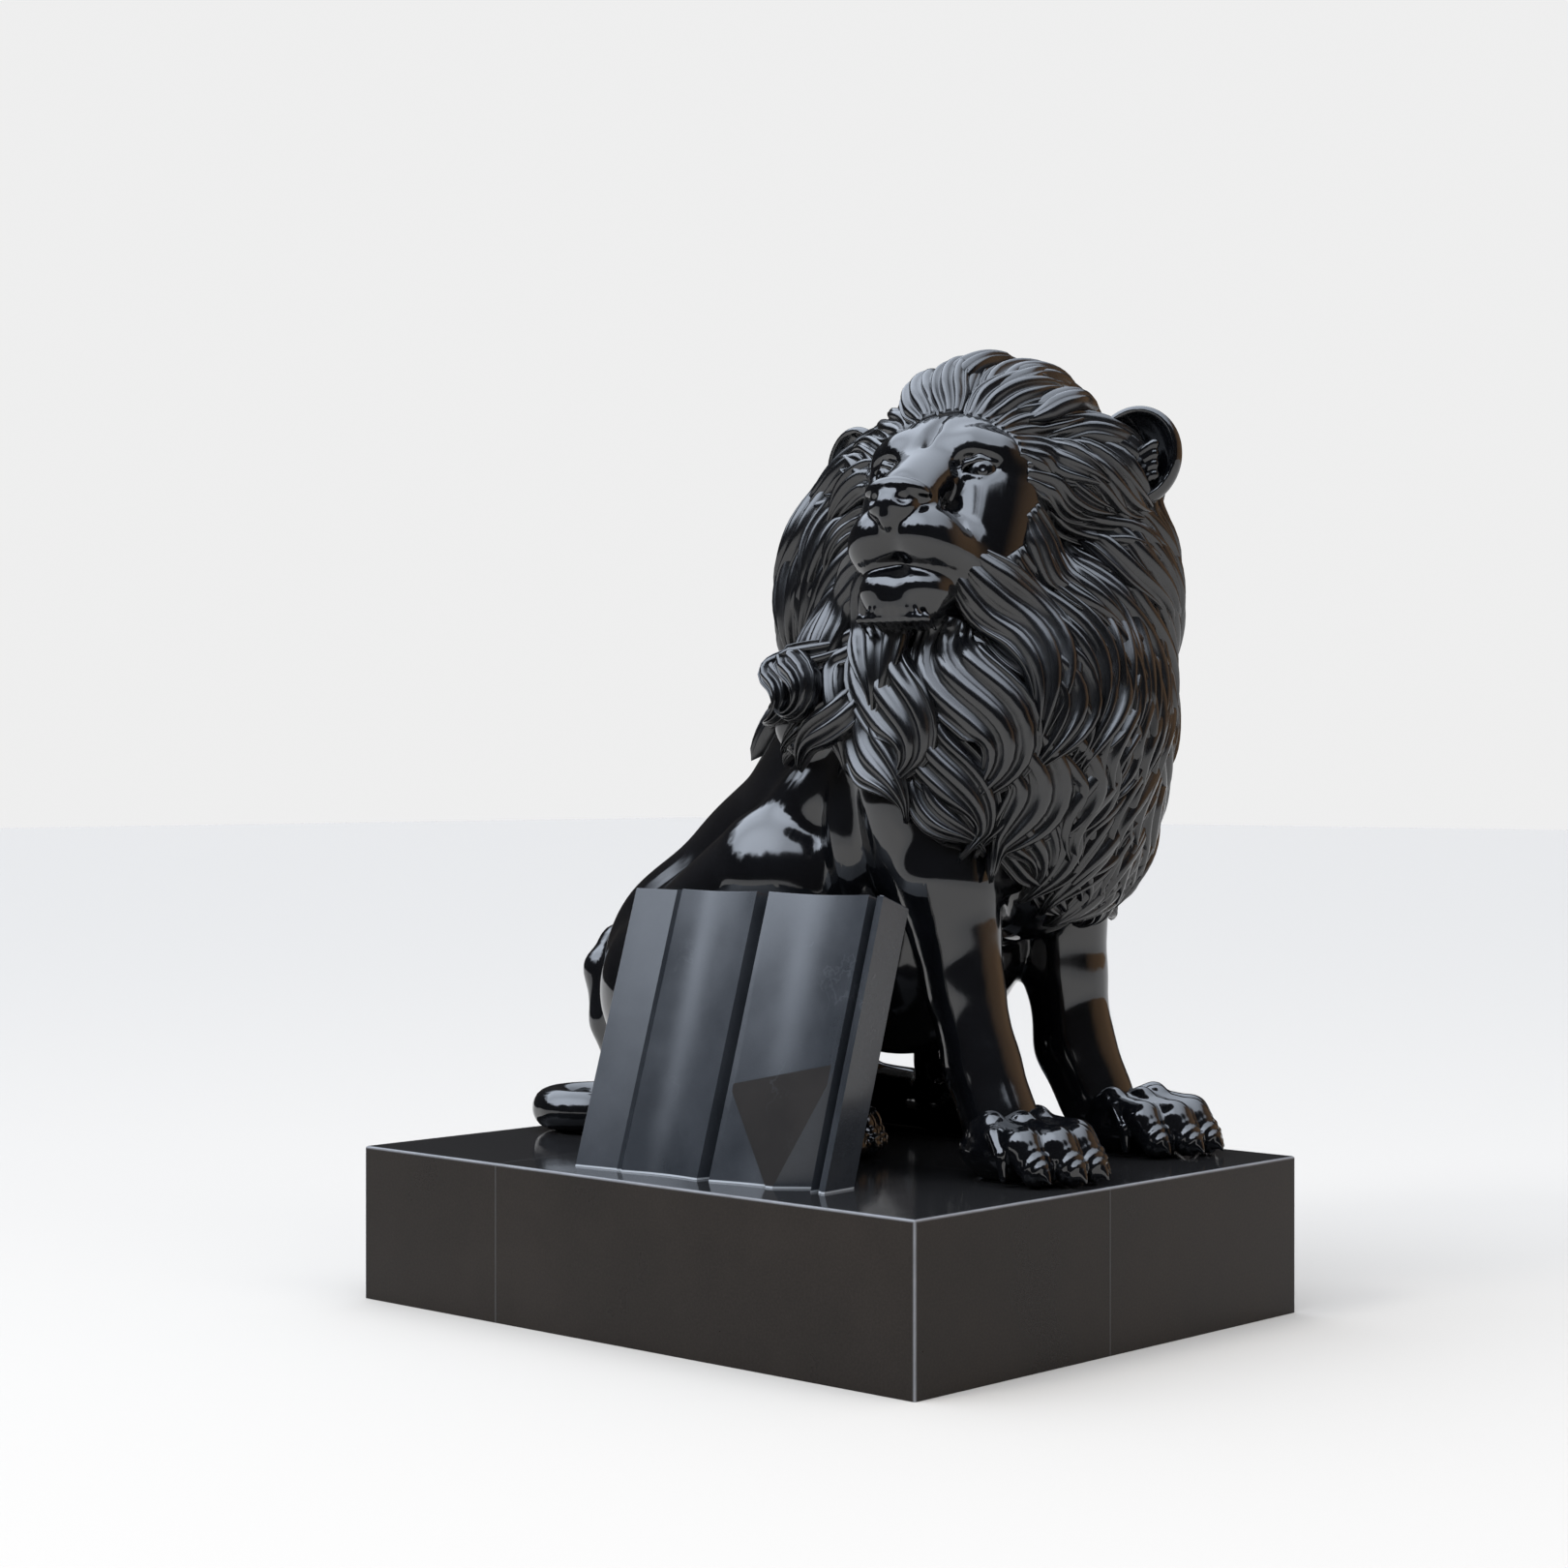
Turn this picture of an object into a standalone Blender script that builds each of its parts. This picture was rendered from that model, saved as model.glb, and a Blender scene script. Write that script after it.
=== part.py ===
"""Granite lion statue: a seated lion with its head turned to its right, on a plinth of three blocks,
with a fluted panel that leans on its right thigh. Metres, +Z up, origin under the plinth's middle.
The lion looks along -Y with its body; its own right side is -X."""

import math

import bmesh
import bpy
import numpy as np
import openvdb
from mathutils import Euler

# Plinth: a rear block across the full width, and two front blocks
PLINTH_LENGTH = 1.90
PLINTH_WIDTH = 1.50
PLINTH_HEIGHT = 0.40
REAR_BLOCK_LENGTH = 0.517
FRONT_JOINT_FROM_RIGHT = 0.712
ARRIS = 0.006
JOINT = 0.0003

# Panel: a slab whose base line starts at its rear corner and runs forward
PANEL_WIDTH = 0.79
PANEL_HEIGHT = 0.727
PANEL_THICKNESS = 0.113
PANEL_LEAN = 18.6
PANEL_TURN = -85.6
PANEL_FROM_RIGHT = 0.097
PANEL_FROM_FRONT = 1.202
FLUTE_DEPTH = 0.016
GROOVE_DEPTH = 0.034
GROOVE_WIDTH = 0.028
STEP_DEPTH = 0.012
NOTCH_DEPTH = 0.060

# Lion: the forms below are given for FORM_HEIGHT and scaled to LION_HEIGHT
LION_HEIGHT = 2.05
FORM_HEIGHT = 2.05
LION_FROM_LEFT = 0.51
HEAD_TURN = -80.0
HEAD_TILT = -16.0
SEAT = 0.0003

# Fineness of the carving
FORM_CELL = 0.013
SKIN_CELL = 0.0135
LION_TRIANGLES = 9300
FACE_KEPT = 0.1
LOCK_SEED = 7
HEM_ANGLES = (-3.15, -2.0, -1.73, -1.52, -1.3, -0.9, -0.6, 0.0, 0.8, 1.4, 2.2, 3.15)
HEM_HEIGHTS = (0.98, 1.02, 0.98, 0.86, 0.80, 0.68, 0.61, 0.57, 0.62, 0.74, 0.86, 0.98)

PLINTH_TOP = np.array([0.0, 0.0, PLINTH_HEIGHT])
LION_ORIGIN = np.array([PLINTH_WIDTH / 2 - LION_FROM_LEFT, 0.0, PLINTH_HEIGHT])
EYES = np.array([-0.300, -0.432, 1.730])
FIELD_LOW = (-0.86, -1.02, -0.05)
FIELD_HIGH = (0.66, 1.02, 2.14)
FAR = 0.5


def turn(degrees):
    """Rotation matrix of three angles in degrees, about X, then Y, then Z."""
    return np.array(Euler([math.radians(a) for a in degrees]).to_matrix())


BODY = (np.eye(3), np.zeros(3))
NECK = (turn((0, 0, HEAD_TURN)), EYES)
HEAD = (turn((0, 0, HEAD_TURN)) @ turn((HEAD_TILT, 0, 0)), EYES)
FACING = turn((0, 0, HEAD_TURN)) @ np.array([0, -1.0, 0])
ACROSS = turn((0, 0, HEAD_TURN)) @ np.array([1.0, 0, 0])
UP = np.array([0, 0, 1.0])
HUB = EYES - 0.16 * FACING - 0.09 * UP


def blend(a, b, k):
    """The lower of two distances, with a round fillet of width k where they meet."""
    h = np.clip(0.5 + 0.5 * (b - a) / k, 0, 1)
    return b + (a - b) * h - k * h * (1 - h)


def ease(low, high, x):
    """0 below low, 1 above high, a smooth S between: 3t^2 - 2t^3."""
    t = np.clip((x - low) / (high - low), 0, 1)
    return t * t * (3 - 2 * t)


class Clay:
    """Distances to the surface of a form on a grid of cells, built up and carved shape by shape."""

    def __init__(self, low, high, cell):
        self.low = np.array(low, np.float32)
        self.cell = cell
        self.count = np.ceil((np.array(high) - self.low) / cell).astype(int) + 1
        self.far = np.full(self.count, FAR, np.float32)
        self.frame = BODY

    def work(self, distance, low, high, k, cut):
        """Adds or cuts a shape in the cells between two corners."""
        first = np.clip(np.floor((low - self.low) / self.cell).astype(int), 0, self.count)
        last = np.clip(np.ceil((high - self.low) / self.cell).astype(int) + 1, 0, self.count)
        if (last <= first).any():
            return
        part = tuple(slice(int(a), int(b)) for a, b in zip(first, last))
        axes = [self.low[i] + self.cell * np.arange(first[i], last[i]) for i in range(3)]
        grid = np.stack(np.meshgrid(*axes, indexing="ij"), -1).astype(np.float32)
        new = distance(grid).astype(np.float32)
        if cut:
            self.far[part] = -blend(-self.far[part], new, k)
        else:
            self.far[part] = blend(self.far[part], new, k)

    def egg(self, centre, radii, tilt=(0, 0, 0), k=0.05, cut=False, pair=False):
        """An ellipsoid, and with pair its mirror image across the frame's own middle."""
        rotation, origin = self.frame
        radii = np.array(radii, np.float32)
        for side in (1, -1) if pair else (1,):
            middle = (origin + rotation @ (np.array(centre) * (side, 1, 1))).astype(np.float32)
            axes = (rotation @ turn((tilt[0], tilt[1] * side, tilt[2] * side))).astype(np.float32)

            def distance(p):
                q = (p - middle) @ axes
                k0 = np.sqrt(((q / radii) ** 2).sum(-1)) + 1e-6
                k1 = np.sqrt(((q / radii**2) ** 2).sum(-1)) + 1e-6
                return k0 * (k0 - 1) / k1

            reach = np.sqrt(((axes * radii) ** 2).sum(1)) + k + 2 * self.cell
            self.work(distance, middle - reach, middle + reach, k, cut)

    def limb(self, points, radii, k=0.03, cut=False, pair=False):
        """Round-ended cones from point to point."""
        rotation, origin = self.frame
        for side in (1, -1) if pair else (1,):
            ends = [origin + rotation @ (np.array(p) * (side, 1, 1)) for p in points]
            for a, b, ra, rb in zip(ends, ends[1:], radii, radii[1:]):
                run = (b - a).astype(np.float32)
                square = float(run @ run)
                start = a.astype(np.float32)

                def distance(p):
                    h = np.clip(((p - start) @ run) / square, 0, 1)
                    gap = p - start - h[..., None] * run
                    return np.sqrt((gap**2).sum(-1)) - (ra + (rb - ra) * h)

                reach = max(ra, rb) + k + 2 * self.cell
                self.work(distance, np.minimum(a, b) - reach, np.maximum(a, b) + reach, k, cut)

    def at(self, points):
        """Distance at any points, by trilinear interpolation."""
        q = (points - self.low) / self.cell
        i = np.clip(np.floor(q).astype(int), 0, self.count - 2)
        f = q - i
        total = 0
        for corner in np.ndindex(2, 2, 2):
            weight = np.prod(np.where(corner, f, 1 - f), axis=1)
            x, y, z = (i + corner).T
            total = total + weight * self.far[x, y, z]
        return total

    def normal(self, points, reach=0.02):
        """Unit direction in which the distance grows fastest."""
        steps = np.eye(3) * reach
        slope = np.stack([self.at(points + s) - self.at(points - s) for s in steps], 1)
        return slope / (np.linalg.norm(slope, axis=1, keepdims=True) + 1e-9)

    def settle(self, points, rounds=3):
        """Points moved onto the surface, and the surface's normals there."""
        for _ in range(rounds):
            points = points - self.normal(points) * self.at(points)[:, None]
        return points, self.normal(points)

    def skin(self):
        """Points, triangles and quads of the surface."""
        grid = openvdb.FloatGrid(FAR)
        grid.copyFromArray(np.ascontiguousarray(self.far))
        points, triangles, quads = grid.convertToPolygons(isovalue=0.0, adaptivity=0.0)
        return points * self.cell + self.low, triangles, quads


def model_trunk(clay):
    """Rump, barrel and chest of the seated body, and the low belly."""
    clay.frame = BODY
    spine = [(0, 0.50, 0.33), (0, 0.30, 0.62), (0, -0.06, 0.90), (0, -0.22, 1.10)]
    clay.limb(spine, [0.345, 0.33, 0.36, 0.35], k=0.08)
    clay.egg((0.17, 0.50, 0.42), (0.26, 0.30, 0.34), k=0.08, pair=True)
    clay.egg((0, -0.06, 0.56), (0.32, 0.33, 0.32), k=0.08)
    clay.egg((0.345, -0.01, 0.84), (0.100, 0.115, 0.24), tilt=(36, 0, 0), k=0.02, pair=True)
    clay.egg((0.335, -0.215, 0.83), (0.105, 0.085, 0.22), tilt=(-4, 0, 0), k=0.015, pair=True)
    clay.egg((-0.270, -0.38, 0.90), (0.180, 0.17, 0.30), k=0.015)
    clay.egg((0.245, -0.38, 0.90), (0.165, 0.17, 0.30), k=0.015)


def model_hind_legs(clay):
    """Thigh up to the raised knee, shin, and the foot flat on the plinth."""
    clay.frame = BODY
    clay.limb([(-0.27, 0.42, 0.40), (-0.360, 0.03, 0.71)], [0.27, 0.195], k=0.03)
    clay.limb([(0.23, 0.42, 0.40), (0.270, 0.03, 0.69)], [0.25, 0.180], k=0.03)
    clay.limb([(-0.350, -0.035, 0.64), (-0.345, 0.02, 0.20)], [0.135, 0.11], k=0.05)
    clay.limb([(0.295, -0.020, 0.62), (0.300, 0.02, 0.20)], [0.130, 0.105], k=0.05)
    clay.limb([(0.33, 0.36, 0.085), (0.32, 0.08, 0.08)], [0.085, 0.08], k=0.03, pair=True)
    clay.egg((0.31, -0.02, 0.085), (0.125, 0.17, 0.095), k=0.03, pair=True)
    for across, ahead in ((-0.085, 0.0), (-0.03, 0.03), (0.03, 0.03), (0.085, 0.0)):
        x = 0.31 + across
        toe = [(x, -0.04 - ahead, 0.11), (x, -0.13 - ahead, 0.085), (x, -0.165 - ahead, 0.042)]
        clay.limb(toe, [0.038, 0.040, 0.034], k=0.012, pair=True)


def model_forelegs(clay):
    """Two straight forelegs; the right one stands further forward than the left."""
    clay.frame = BODY
    right = [(-0.29, -0.40, 0.90), (-0.30, -0.465, 0.72), (-0.30, -0.520, 0.455)]
    right += [(-0.30, -0.575, 0.268), (-0.305, -0.640, 0.13)]
    left = [(0.27, -0.36, 0.90), (0.285, -0.375, 0.72), (0.29, -0.380, 0.455)]
    left += [(0.295, -0.405, 0.268), (0.305, -0.47, 0.13)]
    clay.limb(right, [0.165, 0.138, 0.096, 0.092, 0.096], k=0.03)
    clay.limb(left, [0.15, 0.125, 0.105, 0.102, 0.100], k=0.03)
    for x, y in ((-0.315, -0.725), (0.325, -0.61)):
        model_paw(clay, x, y)


def model_paw(clay, x, y):
    """A broad paw with four knuckled toes."""
    clay.egg((x, y + 0.02, 0.07), (0.14, 0.15, 0.085), k=0.04)
    for across, ahead in ((-0.105, 0.0), (-0.038, 0.05), (0.038, 0.05), (0.105, 0.0)):
        root = (x + 0.75 * across, y + 0.06 - ahead, 0.115)
        knuckle = (x + across, y - 0.07 - ahead, 0.095)
        tip = (x + 1.05 * across, y - 0.115 - ahead, 0.045)
        clay.limb([root, knuckle, tip], [0.045, 0.047, 0.040], k=0.012)


def model_tail(clay):
    """The tail drops behind the right haunch and ends in a thick ring on the plinth."""
    clay.frame = BODY
    drop = [(-0.14, 0.74, 0.40), (-0.20, 0.80, 0.50), (-0.27, 0.79, 0.44)]
    drop += [(-0.295, 0.74, 0.30), (-0.27, 0.70, 0.16), (-0.30, 0.66, 0.075)]
    clay.limb(drop, [0.06, 0.058, 0.056, 0.056, 0.056, 0.06], k=0.03)
    angles = np.radians(np.linspace(-70, 250, 14))
    ring = [(-0.34 + 0.105 * math.cos(a), 0.775 + 0.105 * math.sin(a), 0.062) for a in angles]
    clay.limb(ring, np.linspace(0.060, 0.050, 14), k=0.02)


def model_mane(clay):
    """The mass under the locks: breast and shoulders, the knot of curls, neck, ruff and crown."""
    clay.frame = BODY
    clay.egg((-0.028, -0.35, 1.14), (0.422, 0.44, 0.46), k=0.06)
    clay.egg((-0.01, -0.43, 0.93), (0.35, 0.30, 0.38), k=0.06)
    clay.egg((-0.395, -0.075, 1.105), (0.075, 0.080, 0.085), k=0.03)
    clay.frame = NECK
    clay.egg((-0.125, 0.40, -0.30), (0.515, 0.295, 0.45), k=0.06)
    clay.egg((-0.03, 0.34, -0.02), (0.385, 0.26, 0.185), k=0.06)
    clay.egg((-0.02, 0.30, 0.080), (0.232, 0.25, 0.185), k=0.05)


def model_ears(clay):
    """Two leaf-shaped cupped ears, set far back on the ruff."""
    clay.frame = NECK
    for side, across in ((1, 0.370), (-1, -0.450)):
        tilt = (0, 15 * side, 20 * side)
        clay.egg((across, 0.36, 0.045), (0.115, 0.055, 0.13), tilt=tilt, k=0.03)
        hollow = (across + 0.018 * side, 0.300, 0.055)
        clay.egg(hollow, (0.092, 0.058, 0.106), tilt=tilt, k=0.015, cut=True)


def model_skull(clay):
    """Skull, cheeks, jaw, brow and the flat-topped bridge of the nose."""
    clay.frame = HEAD
    clay.egg((0, 0.16, 0.00), (0.225, 0.20, 0.20), k=0.03)
    clay.egg((0, 0.085, 0.070), (0.175, 0.115, 0.090), k=0.06)
    clay.egg((0.120, 0.110, -0.090), (0.115, 0.130, 0.140), k=0.10, pair=True)
    clay.egg((0.115, 0.115, -0.230), (0.110, 0.150, 0.130), k=0.10, pair=True)
    clay.egg((0, 0.08, -0.295), (0.150, 0.17, 0.115), k=0.06)
    clay.limb([(0, 0.03, 0.040), (0, -0.118, -0.092)], [0.066, 0.058], k=0.05)
    edge = [(0.036, 0.0, 0.025), (0.046, -0.118, -0.106)]
    clay.limb(edge, [0.050, 0.042], k=0.03, pair=True)
    brow = [(0.040, -0.015, 0.048), (0.100, -0.010, 0.052), (0.155, 0.022, 0.046), (0.200, 0.080, 0.030)]
    clay.limb(brow, [0.026, 0.028, 0.026, 0.022], k=0.05, pair=True)


def model_muzzle(clay):
    """Muzzle pads, lower jaw, the mouth a little open, and the nose pad."""
    clay.frame = HEAD
    clay.egg((0.056, -0.092, -0.205), (0.084, 0.092, 0.076), tilt=(12, 0, 0), k=0.035, pair=True)
    clay.egg((0.092, -0.040, -0.238), (0.074, 0.100, 0.062), k=0.05, pair=True)
    clay.egg((0.044, -0.052, -0.338), (0.080, 0.082, 0.054), k=0.03, pair=True)
    clay.egg((0, -0.045, -0.382), (0.096, 0.076, 0.046), k=0.04)
    lip = [(0, -0.185, -0.266), (0.045, -0.186, -0.286), (0.095, -0.145, -0.298)]
    lip += [(0.140, -0.080, -0.302), (0.168, -0.030, -0.292)]
    clay.limb(lip, [0.008, 0.009, 0.009, 0.008, 0.004], k=0.008, cut=True, pair=True)
    clay.limb([(0, -0.208, -0.205), (0, -0.192, -0.266)], [0.005, 0.008], k=0.012, cut=True)
    clay.egg((0, -0.160, -0.122), (0.090, 0.056, 0.034), tilt=(-20, 0, 0), k=0.006)
    clay.egg((0, -0.172, -0.156), (0.066, 0.048, 0.045), k=0.012)
    clay.egg((0, -0.170, -0.192), (0.028, 0.040, 0.032), k=0.015)
    clay.egg((0.046, -0.220, -0.150), (0.023, 0.028, 0.016), tilt=(0, 26, 0), k=0.006, cut=True, pair=True)
    clay.limb([(0.066, -0.196, -0.144), (0.090, -0.145, -0.132)], [0.010, 0.004], k=0.006, cut=True, pair=True)


def model_eyes(clay):
    """Shallow sockets under the brow, eyeballs, upper and lower lids."""
    clay.frame = HEAD
    clay.egg((0.130, -0.034, -0.006), (0.054, 0.030, 0.026), tilt=(0, -6, 24), k=0.02, cut=True, pair=True)
    clay.egg((0.131, 0.006, -0.009), (0.041, 0.041, 0.041), k=0.003, pair=True)
    upper = [(0.082, -0.036, -0.028), (0.104, -0.036, 0.000), (0.136, -0.028, 0.012)]
    upper += [(0.168, -0.004, 0.008), (0.216, 0.046, 0.010)]
    lower = [(0.082, -0.036, -0.028), (0.108, -0.034, -0.030), (0.142, -0.020, -0.032), (0.178, 0.006, -0.010)]
    clay.limb(upper, [0.004, 0.008, 0.009, 0.007, 0.003], k=0.006, pair=True)
    clay.limb(lower, [0.004, 0.007, 0.007, 0.004], k=0.008, pair=True)


def cast(clay, origin, rays):
    """Points where rays from outside, run back towards their origin, meet the surface."""
    run = np.ones(len(rays))
    for _ in range(60):
        points = origin + rays * run[:, None]
        run = run - 0.9 * np.clip(clay.at(points), -0.02, 0.05)
    return origin + rays * run[:, None]


def lock_roots(clay, rng):
    """Roots, lengths, widths, thicknesses and phases of the locks.
    Face rings: cones about the facing direction, at a polar angle. Breast rings: level circles,
    at a height above the plinth, from an angle on the right to one on the left of straight ahead.
    No lock hangs below the hem, whose height above the plinth changes round the body."""
    face_rings = ((66, 20, 0.34, 0.12, 0.044), (80, 18, 0.44, 0.15, 0.052), (96, 17, 0.50, 0.17, 0.056))
    face_rings += ((112, 15, 0.52, 0.18, 0.056), (130, 13, 0.50, 0.18, 0.054))
    face_rings += ((150, 9, 0.48, 0.18, 0.052), (170, 5, 0.44, 0.18, 0.050))
    breast_rings = ((1.52, 15, 0.56, 0.17, 0.052, -2.0, 2.2), (1.36, 15, 0.58, 0.19, 0.054, -1.7, 2.4))
    breast_rings += ((1.20, 13, 0.56, 0.19, 0.054, -1.5, 2.1), (1.03, 11, 0.50, 0.19, 0.052, -1.2, 1.6))
    breast_rings += ((0.88, 8, 0.38, 0.18, 0.050, -0.80, 1.1), (0.74, 6, 0.26, 0.15, 0.046, -0.5, 0.7))
    found = []
    for polar, count, length, width, thick in face_rings:
        around = (np.arange(count) + rng.uniform(-0.2, 0.2, count)) / count * 2 * math.pi
        side = np.cos(around)[:, None] * UP + np.sin(around)[:, None] * ACROSS
        rays = math.cos(math.radians(polar)) * FACING + math.sin(math.radians(polar)) * side
        lengths = length * (1 + 0.25 * (np.cos(around) < -0.2) + rng.uniform(-0.1, 0.1, count))
        widths = width * rng.uniform(0.85, 1.15, count)
        found.append((cast(clay, HUB, rays), lengths, widths, np.full(count, thick), 2 * around))
    for height, count, length, width, thick, right, left in breast_rings:
        around = np.linspace(right, left, count) + rng.uniform(-0.06, 0.06, count)
        rays = np.stack([np.sin(around), -np.cos(around), 0 * around], 1)
        lengths = length * (1 + rng.uniform(-0.12, 0.12, count))
        widths = width * rng.uniform(0.85, 1.15, count)
        roots = cast(clay, np.array([0, -0.36, height]), rays)
        found.append((roots, lengths, widths, np.full(count, thick), 2 * around))
    roots, lengths, widths, thicks, phases = [np.concatenate(column) for column in zip(*found)]
    around = np.arctan2(roots[:, 0], -0.36 - roots[:, 1])
    fall = (roots[:, 2] - np.interp(around, HEM_ANGLES, HEM_HEIGHTS)) / 0.85
    share = np.clip(fall / lengths, 0.2, 1)
    return roots, lengths * share, widths * share**0.6, thicks * share**0.6, phases


def lock_course(points, normals, run, phase, sway):
    """Direction of the hair on the surface: out from the face, back over the crown, down with
    distance from the face, and a sideways wave along the lock."""
    away = points - HUB
    along = away @ FACING
    radial = away - along[:, None] * FACING
    distance = np.linalg.norm(radial, axis=1)
    radial = radial / (distance[:, None] + 1e-6)
    high = np.clip(radial[:, 2], 0, 1)
    outward = 1.3 * np.exp(-((distance / 0.42) ** 2))
    backward = (0.25 + 0.75 * high) * ease(-0.75, -0.15, away[:, 2])
    down = ease(0.15, 0.50, distance) * (1 - 0.8 * high) + ease(0.22, 0.50, -along)
    course = radial * outward[:, None] - FACING * backward[:, None] - UP * down[:, None]
    course = course - normals * (course * normals).sum(1, keepdims=True)
    course = course / (np.linalg.norm(course, axis=1, keepdims=True) + 1e-6)
    wave = sway * np.cos(2 * math.pi * run / 0.56 + phase)
    course = course + np.cross(normals, course) * wave[:, None]
    course = course - normals * (course * normals).sum(1, keepdims=True)
    return course / (np.linalg.norm(course, axis=1, keepdims=True) + 1e-6)


def lock_bodies(clay, rng, steps=11, around=10):
    """Closed bodies of all the locks, each a flattened round that tapers to a point. Its section at
    s of its length is width*w(s) across and thick*t(s) high, raised by lift(s) off the surface."""
    roots, lengths, widths, thicks, phases = lock_roots(clay, rng)
    phases = phases + rng.uniform(-0.5, 0.5, len(roots))
    sway = np.where(roots[:, 2] < 1.45, 0.95, 0.40)
    points, normals = clay.settle(roots)
    stride = lengths / steps
    path, ups, ways = [], [], []
    for i in range(steps + 1):
        course = lock_course(points, normals, stride * i, phases, sway)
        path.append(points)
        ups.append(normals)
        ways.append(course)
        points, normals = clay.settle(points + course * stride[:, None], 2)
    path, ups, ways = (np.stack(rows, 1) for rows in (path, ups, ways))
    across = np.cross(ups, ways)
    across /= np.linalg.norm(across, axis=-1, keepdims=True) + 1e-9
    s = np.linspace(0, 1, steps + 1)
    wide = (0.6 + 0.4 * ease(0, 0.25, s)) * (1 - 0.85 * ease(0.50, 1.0, s))
    high = (0.4 + 0.6 * ease(0, 0.3, s)) * np.sqrt(np.clip(1 - s**4, 0.02, 1))
    lift = -0.25 + 0.8 * ease(0, 0.75, s) - 0.15 * ease(0.75, 1, s)
    a = np.arange(around) / around * 2 * math.pi
    rise = np.where(np.sin(a) > 0, np.abs(np.sin(a)) ** 0.8, 0.8 * np.sin(a))
    sideways = 0.5 * np.cos(a) * (widths[:, None] * wide)[..., None]
    upright = (thicks[:, None] * high)[..., None] * rise + (thicks[:, None] * lift)[..., None]
    rings = path[:, :, None] + across[:, :, None] * sideways[..., None] + ups[:, :, None] * upright[..., None]
    i, j = np.meshgrid(np.arange(steps), np.arange(around), indexing="ij")
    after = (j + 1) % around
    corners = (i * around + j, i * around + after, (i + 1) * around + after, (i + 1) * around + j)
    sides = np.stack(corners, -1).reshape(-1, 4)
    caps = [np.arange(around)[::-1], steps * around + np.arange(around)]
    size = (steps + 1) * around
    quads = (sides[None] + (np.arange(len(roots)) * size)[:, None, None]).reshape(-1, 4)
    ends = [cap + n * size for n in range(len(roots)) for cap in caps]
    return rings.reshape(-1, 3), quads, ends


def mesh_of(name, points, faces):
    """A mesh object from points and faces, in the part's collection."""
    mesh = bpy.data.meshes.new(name)
    mesh.from_pydata(np.asarray(points).tolist(), [], faces)
    mesh.update()
    obj = bpy.data.objects.new(name, mesh)
    bpy.context.scene.collection.objects.link(obj)
    return obj


def outer_skin(obj):
    """Keeps the largest connected surface, which fills any pocket left closed under a lock."""
    mesh = bmesh.new()
    mesh.from_mesh(obj.data)
    left = set(mesh.verts)
    groups = []
    while left:
        group = {left.pop()}
        edge = list(group)
        while edge:
            near = {e.other_vert(v) for v in edge for e in v.link_edges} - group
            group |= near
            left -= near
            edge = list(near)
        groups.append(group)
    groups.sort(key=len)
    loose = [v for group in groups[:-1] for v in group]
    bmesh.ops.delete(mesh, geom=loose, context="VERTS")
    mesh.to_mesh(obj.data)
    mesh.free()


def evaluated(obj):
    """The object with its modifiers applied."""
    graph = bpy.context.evaluated_depsgraph_get()
    mesh = bpy.data.meshes.new_from_object(obj.evaluated_get(graph))
    obj.modifiers.clear()
    obj.data = mesh
    return obj


def keep_face_fine(lion, decimate):
    """Thins the face less than the rest: a vertex near it has a low weight."""
    middle = (EYES + HEAD[0] @ np.array([0, -0.05, -0.14])) * (LION_HEIGHT / FORM_HEIGHT) + LION_ORIGIN
    places = np.empty(len(lion.data.vertices) * 3)
    lion.data.vertices.foreach_get("co", places)
    away = np.linalg.norm(places.reshape(-1, 3) - middle, axis=1) / LION_HEIGHT
    group = lion.vertex_groups.new(name="coarse")
    for level in range(11):
        chosen = np.flatnonzero(np.rint(10 * ease(0.09, 0.14, away)).astype(int) == level)
        group.add(chosen.tolist(), 0.4 + 0.06 * level, "REPLACE")
    decimate.vertex_group = "coarse"
    decimate.vertex_group_factor = FACE_KEPT


def material(name, colour, roughness):
    """A Principled material."""
    mat = bpy.data.materials.new(name)
    mat.use_nodes = True
    shader = mat.node_tree.nodes["Principled BSDF"]
    shader.inputs["Base Color"].default_value = (*colour, 1)
    shader.inputs["Roughness"].default_value = roughness
    shader.inputs["Metallic"].default_value = 0
    mat.diffuse_color = (*colour, 1)
    return mat


def cube(name, low, high, collection):
    """A box between two corners."""
    bpy.ops.mesh.primitive_cube_add(size=1)
    obj = bpy.context.object
    obj.name = name
    low, high = np.array(low), np.array(high)
    for vertex in obj.data.vertices:
        vertex.co = (low + high) / 2 + np.array(vertex.co) * (high - low)
    for owner in list(obj.users_collection):
        owner.objects.unlink(obj)
    collection.objects.link(obj)
    return obj


def plinth_block(name, low, high, collection, mat):
    """A block whose outer top edges and outer upright corners have the arris cut off."""
    obj = cube(name, low, high, collection)
    half = (PLINTH_WIDTH / 2, PLINTH_LENGTH / 2)
    mesh = bmesh.new()
    mesh.from_mesh(obj.data)

    def outer(vertex, axis):
        return abs(abs(vertex.co[axis]) - half[axis]) < 1e-5

    chosen = []
    for edge in mesh.edges:
        a, b = edge.verts
        on_top = a.co.z > high[2] - 1e-5 and b.co.z > high[2] - 1e-5
        upright = abs(a.co.z - b.co.z) > 1e-5
        same_face = any(outer(a, i) and outer(b, i) and a.co[i] * b.co[i] > 0 for i in (0, 1))
        corner = upright and outer(a, 0) and outer(a, 1)
        if (on_top and same_face) or corner:
            chosen.append(edge)
    bmesh.ops.bevel(mesh, geom=chosen, offset=ARRIS, segments=2, profile=0.5, affect="EDGES")
    mesh.to_mesh(obj.data)
    mesh.free()
    obj.data.materials.append(mat)
    return obj


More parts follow.
